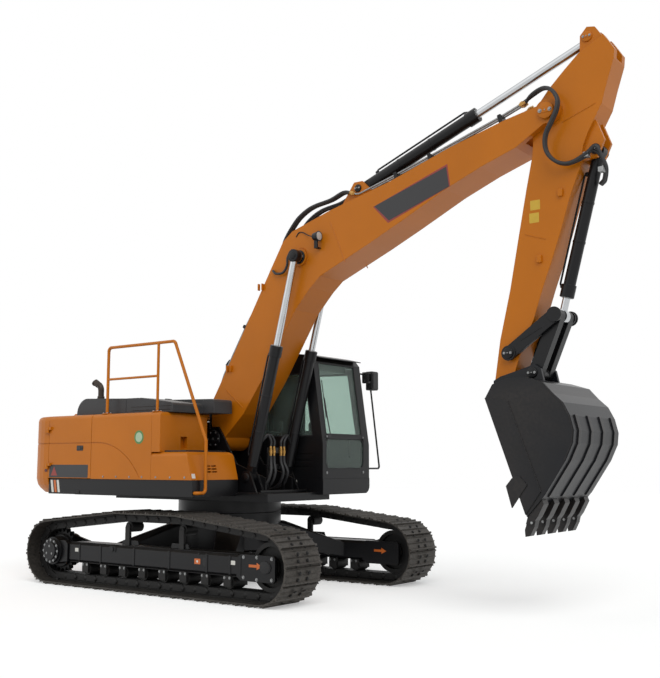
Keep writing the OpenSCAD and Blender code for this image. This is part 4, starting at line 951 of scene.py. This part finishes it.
class EXCAVATOR_OT_deck(bpy.types.Operator):
    """Puts the fittings, hoses and brackets on the deck in front of the boom's foot"""

    bl_idname = "excavator.deck"
    bl_label = "Deck"

    # sideways places of the four fittings between the boom's cylinders, and how far forward they stand
    FITTINGS = (-285, -225, -95, -35)
    FITTING_X = 925
    # half the width over the boom's foot brackets
    FOOT_HALF = 281

    def execute(self, context):
        hose = context.scene.excavator_sizes.hose * 500
        pieces(
            ("deck_bracket", self.bracket, BLACK, "upper", 3),
            ("deck_fittings", self.fittings, BRASSY, "upper"),
            ("deck_hoses", lambda bm: self.hoses(bm, hose), HOSE, "upper"),
            ("foot_covers", self.covers, BLACK, "upper", 4),
            ("foot_cover_bolts", self.cover_bolts, ZINC, "upper"),
            ("deck_edges", self.edges, BLACK, "upper", 3),
            ("deck_plate", self.plate, "vinyl_film_white", "upper"),
        )
        for i, y in enumerate((-230, -150, -20, 60)):
            self.boom_foot_hose(i, y, hose)
        return {"FINISHED"}

    def plate(self, bm):
        """A blank plate on the cab's inner side."""
        slab(bm, rounded(695, 1200, 827, 1299, 6), "XZ", 344, 341)

    def bracket(self, bm):
        """Two legs with the plates that carry the fittings."""
        slab(bm, rounded(-330, 1630, 10, 1700, 10), "YZ", 905, 913)
        for y in (-310, -10):
            box(bm, (880, y - 6, 1160), (913, y + 6, 1690))
        slab(bm, rounded(-320, 1440, 0, 1500, 10), "YZ", 905, 912)

    def fittings(self, bm):
        """Elbow and bulkhead fittings, their hexagons above and below the bracket."""
        rows = [
            (1600, [(0, 17), (26, 17), (26, 22), (50, 22)], 6),
            (1650, [(0, 24), (14, 24), (14, 18), (44, 18)], 6),
            (1700, [(-8, 15), (14, 15)], 12),
        ]
        for y in self.FITTINGS:
            for z, profile, sides in rows:
                turned(bm, mm(self.FITTING_X, y, z), (0, 0, 1), profile, sides)

    def hoses(self, bm, radius):
        """Four hoses from the fittings down into the deck, and four looped over to the boom's cylinders."""
        for i, y in enumerate(self.FITTINGS):
            lean = (i - 1.5) * 26
            low = [(self.FITTING_X, y, 1600), (930, y, 1520), (945 + i * 8, y + lean * 0.5, 1400)]
            low += [(900, y + lean, 1270), (800, y + lean, 1200), (700, y + lean, 1190)]
            swept(bm, flowing(low), radius)
            target = -390 if i < 2 else 210
            high = [(self.FITTING_X, y, 1714), (930, y, 1780), (905 + i * 6, y * 0.7 + target * 0.3, 1850)]
            high += [(880, y * 0.35 + target * 0.65, 1820), (842, target, 1740)]
            swept(bm, flowing(high), radius * 0.8)

    def boom_foot_hose(self, i, y, radius):
        """A hose from the swing's middle up to the boom's back."""
        route = [(150, y, 1175), (60, y, 1300), (-60, y, 1480), (-130, y, 1700), (-150, y, 1950)]
        route += [(-115, y, 2180), (-70, y, 2330)]
        hose = piece(f"boom_foot_hose_{i}", lambda bm: swept(bm, flowing(route), radius), HOSE)
        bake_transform(hose)

    def covers(self, bm):
        """Round caps over the boom's foot pin."""
        for s, y in flanks(self.FOOT_HALF):
            turned(bm, mm(BOOM_FOOT.x, y, BOOM_FOOT.z), (0, s, 0), [(0, 112), (8, 112), (12, 104)], sides=36)
            slab(bm, rounded(-70, 1770, 150, 1800, 8), "XZ", y + 12 * s, y + 18 * s)

    def cover_bolts(self, bm):
        """Six bolts round each cap, and the plug in its middle."""
        for s, y in flanks(self.FOOT_HALF + 12):
            turned(bm, mm(BOOM_FOOT.x, y, BOOM_FOOT.z), (0, s, 0), [(0, 16), (5, 16), (7, 11)], sides=14)
            for t in range(0, 360, 60):
                u, v = around(88, t)
                bolt(bm, mm(BOOM_FOOT.x + u, y, BOOM_FOOT.z + v), (0, s, 0), 20)

    def edges(self, bm):
        """The rolled edge along the frame, a strip across the deck's front and a clip at the back."""
        swept(bm, bent([(-1480, -1290, 1124), (640, -1290, 1124)], 20), 9)
        box(bm, (1000, -560, 1160), (1012, 320, 1188))
        box(bm, (-1400, -1342, 1128), (-1340, -1320, 1168))


class EXCAVATOR_OT_cab(bpy.types.Operator):
    """Puts seals, wiper, mirror glass, grips and the driver's place into the cab"""

    bl_idname = "excavator.cab"
    bl_label = "Cab"

    # front panes as inner side, outer side, bottom and top
    LOW_PANE = (411, 1236, 1436, 1826)
    HIGH_PANE = (437, 1221, 1870, 2790)
    # faces of the mirrors' glass and of the display's screen
    MIRROR_X, SCREEN_X = 1011, 868

    def execute(self, context):
        pieces(
            ("window_seals", self.seals, RUBBER, "upper"),
            ("door_seal", self.door_seal, RUBBER, "cab_door"),
            ("wiper", self.wiper, PLASTIC, "upper", 1),
            ("mirror_glass", self.mirrors, "silvered_glass", "upper"),
            ("mirror_backs", self.mirror_backs, PLASTIC, "upper", 8),
            ("cab_bolts", self.bolts, ZINC, "upper"),
            ("door_fittings", self.door, PLASTIC, "cab_door", 2),
            ("cab_trim", self.trim, "moulded_plastic_grey", "upper", 4),
            ("cab_mat", self.mat, RUBBER, "upper", 2),
            ("lever_grips", self.grips, PLASTIC, "upper", 2),
            ("screen", self.screen, PLASTIC, "upper", 3),
            ("screen_face", self.screen_face, "vinyl_film_pale_green", "upper"),
            ("cab_edges", self.edges, BLACK, "upper", 2),
        )
        self.seat()
        return {"FINISHED"}

    @staticmethod
    def front(z):
        """How far forward the cab's front stands at a height."""
        levels = [(1400, 1240), (1750, 1240), (2046, 1194), (2620, 1110), (2800, 1085), (2900, 1000)]
        for (z0, x0), (z1, x1) in zip(levels, levels[1:]):
            if z <= z1:
                return x0 + (x1 - x0) * (z - z0) / (z1 - z0)
        return levels[-1][1]

    def seals(self, bm):
        """Rubber profiles round the panes."""
        for (y0, y1, z0, z1), radius in ((self.LOW_PANE, 84), (self.HIGH_PANE, 26)):
            ring = rounded(y0 + 4, z0 + 4, y1 - 4, z1 - 4, radius, steps=6)
            self.profile(bm, [(self.front(z) - 6, y, z) for y, z in ring])
        side = [(-296, 1854), (1076, 1854), (1038, 2060), (948, 2636), (-296, 2716)]
        self.profile(bm, upright(348, side))
        self.profile(bm, [(-428, y, z) for y, z in rounded(469, 1954, 1230, 2696, 20)])

    def profile(self, bm, ring, radius=9):
        """A round profile along a closed ring in mm."""
        swept(bm, [Vector(p) for p in [*ring, ring[0], ring[1]]], radius, sides=8)

    def door_seal(self, bm):
        """The rubber profile round the door's pane."""
        ring = [(154, 1854), (1056, 1854), (1016, 2060), (931, 2600), (911, 2696), (154, 2716)]
        self.profile(bm, upright(1350, ring))

    def wiper(self, bm):
        """Motor, arm and blade, parked along the pane's inner side."""
        box(bm, (1180, 470, 1835), (1226, 540, 1870))
        x = self.front
        arm = [(x(1880) + 16, 505, 1880), (x(2100) + 18, 480, 2100), (x(2330) + 16, 470, 2330)]
        swept(bm, bent(arm, 40), 7)
        blade = [Vector((x(z) + 6, 470 - (z - 2330) * 0.01, z)) for z in range(2080, 2620, 60)]
        swept(bm, blade, 6, sides=6)

    def mirrors(self, bm):
        """The glass of the small mirror and of the large one."""
        for y0, z0, y1, z1, radius in ((1552, 2610, 1596, 2735, 8), (1642, 2522, 1776, 2748, 10)):
            slab(bm, rounded(y0, z0, y1, z1, radius), "YZ", self.MIRROR_X, self.MIRROR_X - 2)

    def mirror_backs(self, bm):
        """Bulging shells over the mirror housings."""
        for y0, z0, y1, z1 in ((1540, 2596, 1608, 2749), (1630, 2506, 1788, 2764)):
            for grow, x0, x1 in ((0, 1000, 1092), (-8, 1092, 1104), (-22, 1104, 1112)):
                slab(bm, rounded(y0 - grow, z0 - grow, y1 + grow, z1 + grow, 18), "YZ", x0, x1)

    def bolts(self, bm):
        """Bolts at the corners of the front, and of the door's hinges."""
        for y in (430, 1215):
            bolt(bm, mm(1240, y, 1392), (1, 0, 0), 24)
            bolt(bm, mm(1240, y, 1845), (1, 0, 0), 16)
        for z in (1500, 2500):
            for x in (30, 52):
                bolt(bm, mm(x, 1380, z + 20), (0, 1, 0), 12)

    def door(self, bm):
        """Handle bezel, lock and the pull inside."""
        slab(bm, rounded(985, 1670, 1112, 1760, 14), "XZ", 1354, 1359)
        turned(bm, mm(1000, 1359, 1715), (0, 1, 0), [(0, 11), (6, 11), (8, 8)], sides=14)
        swept(bm, bent([(960, 1300, 1600), (960, 1270, 1600), (960, 1270, 1800), (960, 1300, 1800)], 20), 11)

    def trim(self, bm):
        """Moulded lining inside the cab: rear wall, headliner, right side, front ledge and rear shelf."""
        box(bm, (-375, 400, 1370), (-330, 1300, 1930), chamfer=8)
        box(bm, (-375, 400, 2716), (900, 1298, 2850), chamfer=20)
        box(bm, (560, 398, 1370), (1090, 420, 1830), chamfer=6)
        box(bm, (1050, 400, 1840), (1130, 1298, 1862), chamfer=6)
        box(bm, (-370, 400, 1930), (-240, 1298, 1950), chamfer=6)

    def mat(self, bm):
        """Floor mat with ribs across it."""
        slab(bm, rounded(320, 600, 1150, 1110, 30), "XY", 1366, 1374)
        for k in range(9):
            slab(bm, rounded(360 + k * 85, 640, 385 + k * 85, 1070, 8), "XY", 1374, 1379)

    def grips(self, bm):
        """Grips and boots of the joysticks and of the travel levers."""
        boot = [(0, 62), (14, 58), (26, 44), (38, 40), (50, 28), (66, 16)]
        grip = [(0, 17), (20, 26), (70, 29), (110, 33), (132, 27), (140, 12)]
        for y in (545, 1185):
            turned(bm, mm(370, y, 1826), (0.05, 0, 1), boot, sides=20)
            turned(bm, mm(380, y, 1925), (0.08, 0, 1), grip, sides=18)
        foot = [(0, 44), (16, 40), (30, 28), (60, 15)]
        knob = [(0, 15), (12, 22), (80, 25), (112, 26), (122, 14)]
        for y in (660, 780):
            turned(bm, mm(978, y, 1395), (-0.05, 0, 1), foot, sides=18)
            turned(bm, mm(962, y, 1715), (-0.05, 0, 1), knob, sides=18)

    def screen(self, bm):
        """The display on its stalk at the right front pillar."""
        slab(bm, rounded(410, 1780, 580, 1920, 14), "YZ", self.SCREEN_X, self.SCREEN_X + 37)
        swept(bm, bent([(900, 480, 1370), (900, 480, 1800)], 20), 14)

    def screen_face(self, bm):
        slab(bm, rounded(425, 1795, 565, 1905, 8), "YZ", self.SCREEN_X, self.SCREEN_X - 2)

    def edges(self, bm):
        """Rain gutter round the roof and the hatch's frame."""
        gutter = [(-380, 352), (880, 352), (960, 372), (960, 1327), (880, 1347), (-380, 1347)]
        swept(bm, [Vector((x, y, 2862)) for x, y in gutter], 9, sides=8)
        self.profile(bm, [(x, y, 2922) for x, y in rounded(160, 575, 690, 1124, 40)], 8)

    def seat(self):
        """Sprung seat: crowned cushions with sewn channels on a moulded base, in place of the plain solid."""
        base = piece("seat_base", self.seat_base, PLASTIC, "upper", 8)
        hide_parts("seat")
        # corners of each pad, and how far it leans back as it rises
        pads = {
            "seat_cushion": ((-190, 620, 1640), (330, 1100, 1760), 0.05),
            "seat_back": ((-300, 640, 1790), (-185, 1080, 2380), -0.16),
            "seat_head": ((-355, 750, 2405), (-250, 970, 2560), 0),
        }
        for name, (low, high, lean) in pads.items():
            pad = piece(name, lambda bm: self.cushion(bm, low, high, lean), "woven_seat_cloth", "upper")
            soft = pad.modifiers.new("round", "SUBSURF")
            soft.levels = soft.render_levels = 2

    def seat_base(self, bm):
        """Foot, bellows, pan and the two rods of the head rest."""
        slab(bm, rounded(-120, 700, 290, 1020, 40), "XY", 1366, 1400)
        for k in range(6):
            x0, y0, x1, y1 = -95 + 3 * k, 720 + 3 * k, 265 - 3 * k, 1000 - 3 * k
            slab(bm, rounded(x0, y0, x1, y1, 40), "XY", 1400 + k * 30, 1424 + k * 30)
        slab(bm, rounded(-170, 640, 310, 1080, 50), "XY", 1580, 1640)
        for y in (820, 900):
            swept(bm, bent([(-285, y, 2360), (-300, y, 2430)], 10), 8)

    def cushion(self, bm, low, high, lean):
        """A crowned closed pad, its sides drawn in, with two sewn channels one way and one the other."""
        low, high = Vector(low), Vector(high)
        size = high - low
        flat = min(range(3), key=lambda k: size[k])
        u, v = [k for k in range(3) if k != flat]
        count = 12

        def drawn(i, other):
            """Share along one side, drawn in at its two ends."""
            pull = 0.03 * math.sin(math.pi * other)
            return i / count + (pull if i == 0 else -pull if i == count else 0)

        grid = {}
        for layer in (0, 1):
            for i in range(count + 1):
                for j in range(count + 1):
                    a, b = i / count, j / count
                    p = Vector((0, 0, 0))
                    p[u] = low[u] + size[u] * drawn(i, b)
                    p[v] = low[v] + size[v] * drawn(j, a)
                    crown = (math.sin(math.pi * a) * math.sin(math.pi * b)) ** 0.35
                    seam = 0.12 if j in (3, count - 3) or i == count // 2 else 0
                    depth = 0.5 + (crown * 0.5 - seam * (crown > 0)) * (1 if layer else -1)
                    p[flat] = low[flat] + size[flat] * min(1, max(0, depth))
                    if flat == 0:
                        p.x += lean * (p.z - low.z)
                    grid[layer, i, j] = bm.verts.new(p / 1000)
        for layer in (0, 1):
            for i in range(count):
                for j in range(count):
                    corners = ((i, j), (i + 1, j), (i + 1, j + 1), (i, j + 1))
                    bm.faces.new([grid[layer, m, n] for m, n in corners])
        bmesh.ops.remove_doubles(bm, verts=bm.verts, dist=0.0005)


# Working gear

# how far each boom cylinder stands to the side of the boom's middle
RAM_OUT = 340


class EXCAVATOR_OT_pins(bpy.types.Operator):
    """Puts the caps, keeper plates and bolts on the pins of the working gear"""

    bl_idname = "excavator.pins"
    bl_label = "Pins"

    def execute(self, context):
        high = Vector((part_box("boom_rods")[1][0] - 0.074, 0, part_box("boom_rods")[1][2] - 0.074)) * 1000
        head = Vector((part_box("arm_rod")[1][0] - 0.08, 0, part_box("arm_rod")[1][2] - 0.08)) * 1000
        # name, place, half the width over the pin, radius of the cap, paint, body
        table = [
            ("boom_tip", TIP, 250, 88, ORANGE, "boom"),
            ("boom_eye", high, 255, 84, BLACK, "boom"),
            ("arm_cylinder_base", STICK_BASE, 92, 46, BLACK, "boom"),
            ("arm_cylinder_rod", head, 112, 56, ORANGE, "arm"),
            ("bucket_cylinder_base", CURL_BASE, 112, 54, BLACK, "arm"),
            ("link_arm", LINK_ARM, 215, 58, BLACK, "arm"),
            ("link_bucket", LINK_BUCKET, 200, 56, BLACK, "bucket"),
            ("bucket_arm", BUCKET_PIN, 200, 60, BLACK, "bucket"),
        ]
        for name, place, half, radius, paint, body in table:
            piece(f"cap_{name}", lambda bm: self.caps(bm, place, half, radius), paint, body, 2)
            piece(f"cap_bolts_{name}", lambda bm: self.keeper(bm, place, half, radius), ZINC, body)
        piece("rod_eye_covers", lambda bm: self.eyes(bm, high), BLACK, "boom_rods", 2)
        for s, y in flanks(RAM_OUT):
            piece(f"cap_ram_foot_{s + 1}", lambda bm: self.end(bm, RAM_FOOT, y, s, 76, 54), BLACK, "upper", 2)
        return {"FINISHED"}

    def end(self, bm, p, y, s, out, radius):
        """A round cap on one end of a pin."""
        profile = [(-4, radius), (10, radius), (14, radius - 6)]
        turned(bm, mm(p.x, y + s * out, p.z), (0, s, 0), profile, sides=30)

    def eyes(self, bm, p):
        """Black rings round the eyes of the boom cylinders' rods, with the pins' ends."""
        ring = [(-80, 77), (3, 77), (6, 72), (6, 46), (14, 46), (17, 40)]
        for s, y in flanks(384):
            turned(bm, mm(p.x, y, p.z), (0, s, 0), ring, sides=30)

    def caps(self, bm, p, half, radius):
        """Round caps with a keeper plate across each."""
        u, v = radius * 0.9, radius * 0.28
        for s, y in flanks(half + 14):
            self.end(bm, p, BOOM_MID, s, half, radius)
            slab(bm, rounded(p.x - u, p.z - v, p.x + u, p.z + v, radius * 0.2), "XZ", y - 6 * s, y + 5 * s)

    def keeper(self, bm, p, half, radius):
        """The keeper plates' bolts and a grease nipple in each pin."""
        for s, y in flanks(half + 19):
            for dx in (-0.62, 0.62):
                bolt(bm, mm(p.x + dx * radius, y, p.z), (0, s, 0), max(14, radius * 0.34))
            turned(bm, mm(p.x, y, p.z), (0, s, 0), [(0, 7), (6, 7), (9, 4)], sides=10)


class EXCAVATOR_OT_cylinders(bpy.types.Operator):
    """Puts gland bolts, wipers, ports and pipes on the barrels of the cylinders"""

    bl_idname = "excavator.cylinders"
    bl_label = "Cylinders"

    def execute(self, context):
        lift, crowd, curl = (slide_way(f"{rod}_rod_slide") for rod in ("boom", "arm", "bucket"))
        # name, base pin, way of the rod, sideways place, barrel's length and radius in mm, body
        table = [
            ("boom_right", RAM_FOOT, lift, -RAM_OUT, 1630.5, 66, "boom_barrels"),
            ("boom_left", RAM_FOOT, lift, RAM_OUT, 1630.5, 66, "boom_barrels"),
            ("arm", STICK_BASE, crowd, 0, 1674.7, 72, "arm_barrel"),
            ("bucket", CURL_BASE, curl, 0, 1514.9, 62, "bucket_barrel"),
        ]
        for name, base, way, dy, length, radius, body in table:
            at = base + Vector((0, dy, 0))
            side = way.cross(Vector((0, 1, 0))).normalized() * (-1 if name == "bucket" else 1)
            piece(f"gland_{name}", lambda bm: self.gland(bm, at, way, length, radius), ZINC, body)
            piece(f"ports_{name}", lambda bm: self.ports(bm, at, way, side, length, radius), BLACK, body, 2)
        return {"FINISHED"}

    def gland(self, bm, at, way, length, radius):
        """Bolts round the gland's face and the wiper's steel ring."""
        face = at + way * length
        across = way.orthogonal().normalized()
        up = way.cross(across)
        inner = radius * 0.62
        turned(bm, face / 1000, way, [(0, inner + 12), (9, inner + 11), (11, inner + 4)], sides=28)
        for t in range(0, 360, 45):
            c, s = around(radius - 4, t + 22)
            bolt(bm, (face + across * c + up * s) / 1000, way, 15)

    def ports(self, bm, at, way, side, length, radius):
        """Port blocks at both ends of the barrel, the pipe between them and its two bands."""
        seat = radius + 3
        for share in (0.16, 0.93):
            p = at + way * length * share + side * (seat - 8)
            turned(bm, p / 1000, side, [(0, 26), (26, 26), (28, 22), (34, 22)], sides=8)
        a, b = (at + way * length * share + side * (seat + 22) for share in (0.93, 0.16))
        swept(bm, bent([a, a + side * 14 - way * 20, b + side * 14 + way * 20, b], 30), 11)
        for share in (0.35, 0.62):
            q = at + way * length * share
            turned(bm, (q - way * 12) / 1000, way, [(0, radius + 4), (24, radius + 4)], sides=28)


class EXCAVATOR_OT_boom(bpy.types.Operator):
    """Puts pipes, hoses, clamps, beads, blank films and the lamp on the boom and the arm"""

    bl_idname = "excavator.boom"
    bl_label = "Boom"

    # outer faces of the boom, and half the width of the arm with its right face
    SIDE, FAR = BOOM_MID - 230, BOOM_MID + 230
    ARM_HALF = 150
    ARM_SIDE = BOOM_MID - ARM_HALF

    # the pipes' runs along the boom's back and top, and the hoses between them, as (forward, up)
    LOW_RUN = [(-70, 2330), (60, 2640), (420, 3230), (760, 3720), (1010, 4130)]
    TOP_RUN = [(2094, 4700), (2180, 4668), (2720, 4812), (3178, 4945), (4060, 5207), (4330, 5300)]
    KNEE = [
        (1010, 4130), (1062, 4274), (1180, 4430), (1301, 4540), (1489, 4627), (1766, 4670), (1961, 4730),
        (2094, 4700),
    ]
    # sideways places of the pipes, and the middle of the boss for the boom's cylinders
    PIPES = (-200, -150, 0, 50)
    BOSS = Vector((1400, 0, 3988))

    def execute(self, context):
        hose = context.scene.excavator_sizes.hose * 500
        pieces(
            ("boom_pipes", self.pipes, ZINC, "boom"),
            ("boom_hoses", lambda bm: self.knee_hoses(bm, hose), HOSE, "boom"),
            ("boom_clamps", self.clamps, BLACK, "boom", 2),
            ("boom_unions", self.unions, BRASSY, "boom"),
            ("boom_welds", self.welds, ORANGE, "boom"),
            ("boom_lugs", self.lugs, ORANGE, "boom", 2),
            ("arm_welds", self.arm_welds, ORANGE, "arm"),
            ("arm_plates", self.arm_plates, ORANGE, "arm", 2),
            ("arm_hoses", lambda bm: self.arm_hoses(bm, hose), HOSE, "arm"),
            ("arm_clamps", self.arm_clamps, ZINC, "arm", 1),
        )
        for i, shift in enumerate((0, 34)):
            self.crossing(f"tip_hose_{i}", shift, hose)
        self.ram_hose(hose)
        self.films()
        self.lamp()
        return {"FINISHED"}

    def pipes(self, bm):
        """Steel pipes along the boom's back, below the knee and above it."""
        for y in self.PIPES:
            for run in (self.LOW_RUN, self.TOP_RUN):
                swept(bm, bent(upright(y, run), 120), 12)

    def knee_hoses(self, bm, radius):
        """Hoses that join the two runs of pipes round the knee."""
        for y in self.PIPES:
            swept(bm, flowing(upright(y, self.KNEE)), radius)

    def clamps(self, bm):
        """Two-bolt clamps, each on a plate that stands on the boom."""
        # place on the boom's back as (x, z), and the way the boom looks out there
        places = [(420, 3230, -0.86, 0.51), (760, 3720, -0.86, 0.51), (2720, 4812, -0.28, 0.96)]
        places += [(3178, 4945, -0.28, 0.96), (4060, 5207, -0.25, 0.97)]
        shape = ((-22, -95), (22, -95), (22, 16), (16, 22), (-16, 22), (-22, 16))
        for x, z, dx, dz in places:
            ring = [Vector((x, z)) + Vector((dz, -dx)) * u + Vector((dx, dz)) * v for u, v in shape]
            for first, last in ((-200, -150), (0, 50)):
                slab(bm, ring, "XZ", first - 32, last + 32)

    def unions(self, bm):
        """Union nuts where hoses meet pipes."""
        low, top = self.LOW_RUN, self.TOP_RUN
        nut = [(-30, 22), (-4, 22), (-4, 26), (26, 26), (26, 20), (44, 18)]
        for y in self.PIPES:
            for (x0, z0), (x1, z1) in (low[:2], low[:-3:-1], top[:2], top[:-3:-1]):
                turned(bm, mm(x0, y, z0), Vector((x1 - x0, 0, z1 - z0)).normalized(), nut, sides=6)

    def welds(self, bm):
        """Beads across the boom where its plates are joined, and round the cylinders' boss."""
        for y in (self.SIDE, self.FAR):
            for line in ([(1848, 4363), (1960, 4120), (2068, 3850)], [(194, 2433), (487, 2194)]):
                weld(bm, upright(y, line), 6)
            ring = [around(118, a) for a in range(0, 361, 15)]
            weld(bm, upright(y, ring, self.BOSS), 6)

    def lugs(self, bm):
        """Small welded lugs that carry hoses and the lamp."""
        for x, z in ((776, 3688), (258, 2696)):
            for dx in (-30, 30):
                slab(bm, rounded(x + dx - 8, z - 42, x + dx + 8, z + 42, 6), "XZ", self.SIDE, self.SIDE - 34)
        turned(bm, mm(1297, self.SIDE - 25, 4021), (0, -1, 0), [(-2, 34), (10, 34), (14, 24)], sides=20)

    def arm_welds(self, bm):
        """Beads across the arm and round the boss of the tip pin."""
        for y in (self.ARM_SIDE, BOOM_MID + self.ARM_HALF):
            weld(bm, upright(y, [(4777, 4988), (5135, 5109)]), 6)
            weld(bm, upright(y, [(4330, 3870), (4560, 3790)]), 5)
            weld(bm, upright(y, [around(150, a) for a in range(150, 380, 15)], TIP), 5)

    def arm_plates(self, bm):
        """Lugs and clamp seats on the arm's side."""
        for x, z in ((4736, 4250), (4484.5, 3590.5)):
            slab(bm, rounded(x - 26, z - 40, x + 26, z + 40, 10), "XZ", self.ARM_SIDE, self.ARM_SIDE - 26)

    def arm_hoses(self, bm, radius):
        """Hoses from the arm's head down to the bucket cylinder's base."""
        for i, y in enumerate((-262, -262 - 2 * radius)):
            route = [(5025 + i * 40, y, 4566 + i * 30), (5099 + i * 45, y, 4620 + i * 25)]
            route += [(5170 + i * 20, y + 30, 4560), (5215, y + 60, 4440), (5180, y + 120, 4330)]
            swept(bm, flowing([*route, (5120, y + 170, 4300)]), radius)

    def arm_clamps(self, bm):
        """Clamps of the two hoses on the arm."""
        for x, z in ((5040, 4580), (5190, 4400)):
            slab(bm, rounded(x - 26, z - 26, x + 26, z + 26, 8), "XZ", self.ARM_SIDE, self.ARM_SIDE - 70)

    def crossing(self, name, shift, radius):
        """A hose that loops from the boom over the tip pin to the arm."""
        # place along the hose as (x, y, z), the y moved sideways by the shift
        line = [
            (4450, -215, 5350), (4600, -270, 5372), (4720, -330, 5310), (4790, -352, 5190),
            (4780, -356, 5080), (4715, -352, 4960), (4652, -345, 4850), (4635, -335, 4740),
            (4660, -320, 4640), (4730, -300, 4560), (4830, -280, 4520), (4930, -266, 4535),
        ]
        route = [(4330, -200 + shift * 1.2, 5300), *((x, y - shift, z) for x, y, z in line)]
        route.append((5025 + shift, -262 - shift, 4566 + shift * 0.8))
        hose = piece(name, lambda bm: swept(bm, flowing(route), radius), HOSE)
        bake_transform(hose)

    def ram_hose(self, radius):
        """The hose that loops under the boom's cylinder boss."""
        route = [(979, -330, 3870), (1044, -345, 3824), (1156, -352, 3824), (1219, -352, 3903)]
        route += [(1230, -350, 4010), (1297, -345, 4092)]
        piece("boss_hose", lambda bm: swept(bm, flowing(route), radius * 0.8), HOSE, "boom")

    def films(self):
        """Blank films on the boom and the arm: black with a red edge, and two yellow ones."""
        big = [(2471, 4446), (2676, 4226), (3493, 4517), (3460, 4771)]
        centre = (sum(p[0] for p in big) / 4, sum(p[1] for p in big) / 4)
        inner = [(centre[0] + (x - centre[0]) * 0.97, centre[1] + (z - centre[1]) * 0.9) for x, z in big]
        # each film's name, outline, face, and where it starts and ends over the face
        films = []
        for tag, y, s in (("right", self.SIDE, -1), ("left", self.FAR, 1)):
            films.append((f"boom_film_edge_{tag}", big, y, 0, 1.2 * s, "red", "boom"))
            films.append((f"boom_film_{tag}", inner, y, 1.2 * s, 2.4 * s, "black", "boom"))
        for i, (x0, z0, x1, z1) in enumerate(((4396, 4114, 4506, 4217), (4382, 3979, 4491, 4083))):
            patch = rounded(x0, z0, x1, z1, 6)
            films.append((f"arm_film_{i}", patch, self.ARM_SIDE, 0, -1.2, "yellow", "arm"))
        for name, outline, y, start, stop, tint, body in films:
            piece(name, lambda bm: slab(bm, outline, "XZ", y + start, y + stop), f"vinyl_film_{tint}", body)

    def lamp(self):
        """Lens, rim and cable of the work lamp."""
        low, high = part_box("boom_lamp")
        c = Vector((high[0] * 1000, low[1] * 1000 + 60, high[2] * 1000 - 60))
        lens = [(-2, 52), (3, 50), (7, 34), (9, 10)]
        rim = [c + Vector((0, *around(56, a))) for a in range(0, 376, 15)]
        cable = [(c.x - 78, c.y, c.z), (1530, -330, 4240), (1440, -318, 4290), (1374, -316, 4297)]
        cable = flowing([*cable, (1330, -316, 4250)])
        table = [
            ("lamp_lens", lambda bm: turned(bm, c / 1000, (1, 0, 0), lens, sides=28), "moulded_lens_clear"),
            ("lamp_rim", lambda bm: swept(bm, rim, 5, sides=8), RUBBER),
            ("lamp_cable", lambda bm: swept(bm, cable, 6, sides=8), RUBBER),
        ]
        for name, build, finish in table:
            piece(name, build, finish, "boom")


class EXCAVATOR_OT_bucket(bpy.types.Operator):
    """Puts weld beads and tooth pins on the bucket and its links"""

    bl_idname = "excavator.bucket"
    bl_label = "Bucket"

    def execute(self, context):
        piece("bucket_welds", self.welds, "worn_bucket_steel", "bucket")
        piece("tooth_pins", self.tooth_pins, ZINC, "bucket")
        piece("link_tube", self.link_tube, BLACK, "side_links", 2)
        return {"FINISHED"}

    def welds(self, bm):
        """Beads where the side plates, the back and the lugs of the bucket meet."""
        side = [(256, -143), (591, -1035)]
        back = [(855, -732), (930, -574), (944, -453), (909, -311), (843, -185), (744, -95), (644, 15)]
        lug = [(100, 24), (440, 80)]
        # each bead's line, place to the side of the middle, and radius
        beads = [(side, 572, 6), ([(u * 0.985, v) for u, v in back], 571, 6), (lug, 162, 5), (lug, 198, 5)]
        for line, half, radius in beads:
            for _, y in flanks(half):
                weld(bm, upright(y, line, BUCKET_PIN), radius)

    def tooth_pins(self, bm):
        """The pins' heads on both sides of each tooth."""
        for y in range(-500, 501, 250):
            for s in (-1, 1):
                at = mm(BUCKET_PIN.x + 478, BOOM_MID + y + s * 43, BUCKET_PIN.z - 1330)
                turned(bm, at, (0, s, 0), [(0, 15), (11, 15), (13, 11)], sides=12)

    def link_tube(self, bm):
        """Beads along the web between the two side links."""
        for _, y in flanks(202):
            weld(bm, upright(y, [(-120, -60), (120, 60)], middle("side_links")), 4)


class EXCAVATOR_PT_panel(bpy.types.Panel):
    """Lists the groups of pieces of the excavator"""

    bl_label = "Excavator"
    bl_idname = "EXCAVATOR_PT_panel"
    bl_space_type = "VIEW_3D"
    bl_region_type = "UI"
    bl_category = "Excavator"

    def draw(self, context):
        for operator in OPERATORS:
            self.layout.operator(operator.bl_idname)


GROUPS = {
    "excavator_finish": ExcavatorFinish, "excavator_sizes": ExcavatorSizes, "excavator_stage": ExcavatorStage,
}
OPERATORS = [
    EXCAVATOR_OT_stage, EXCAVATOR_OT_finishes, EXCAVATOR_OT_tracks, EXCAVATOR_OT_body, EXCAVATOR_OT_deck,
    EXCAVATOR_OT_cab, EXCAVATOR_OT_pins, EXCAVATOR_OT_cylinders, EXCAVATOR_OT_boom, EXCAVATOR_OT_bucket,
]


def register():
    for cls in [*GROUPS.values(), *OPERATORS, EXCAVATOR_PT_panel]:
        bpy.utils.register_class(cls)
    for name, group in GROUPS.items():
        setattr(bpy.types.Scene, name, PointerProperty(type=group))


def unregister():
    for name in GROUPS:
        delattr(bpy.types.Scene, name)
    for cls in reversed([*GROUPS.values(), *OPERATORS, EXCAVATOR_PT_panel]):
        bpy.utils.unregister_class(cls)


def main():
    register()
    for operator in OPERATORS:
        group, action = operator.bl_idname.split(".")
        getattr(getattr(bpy.ops, group), action)()


if __name__ == "__main__":
    main()
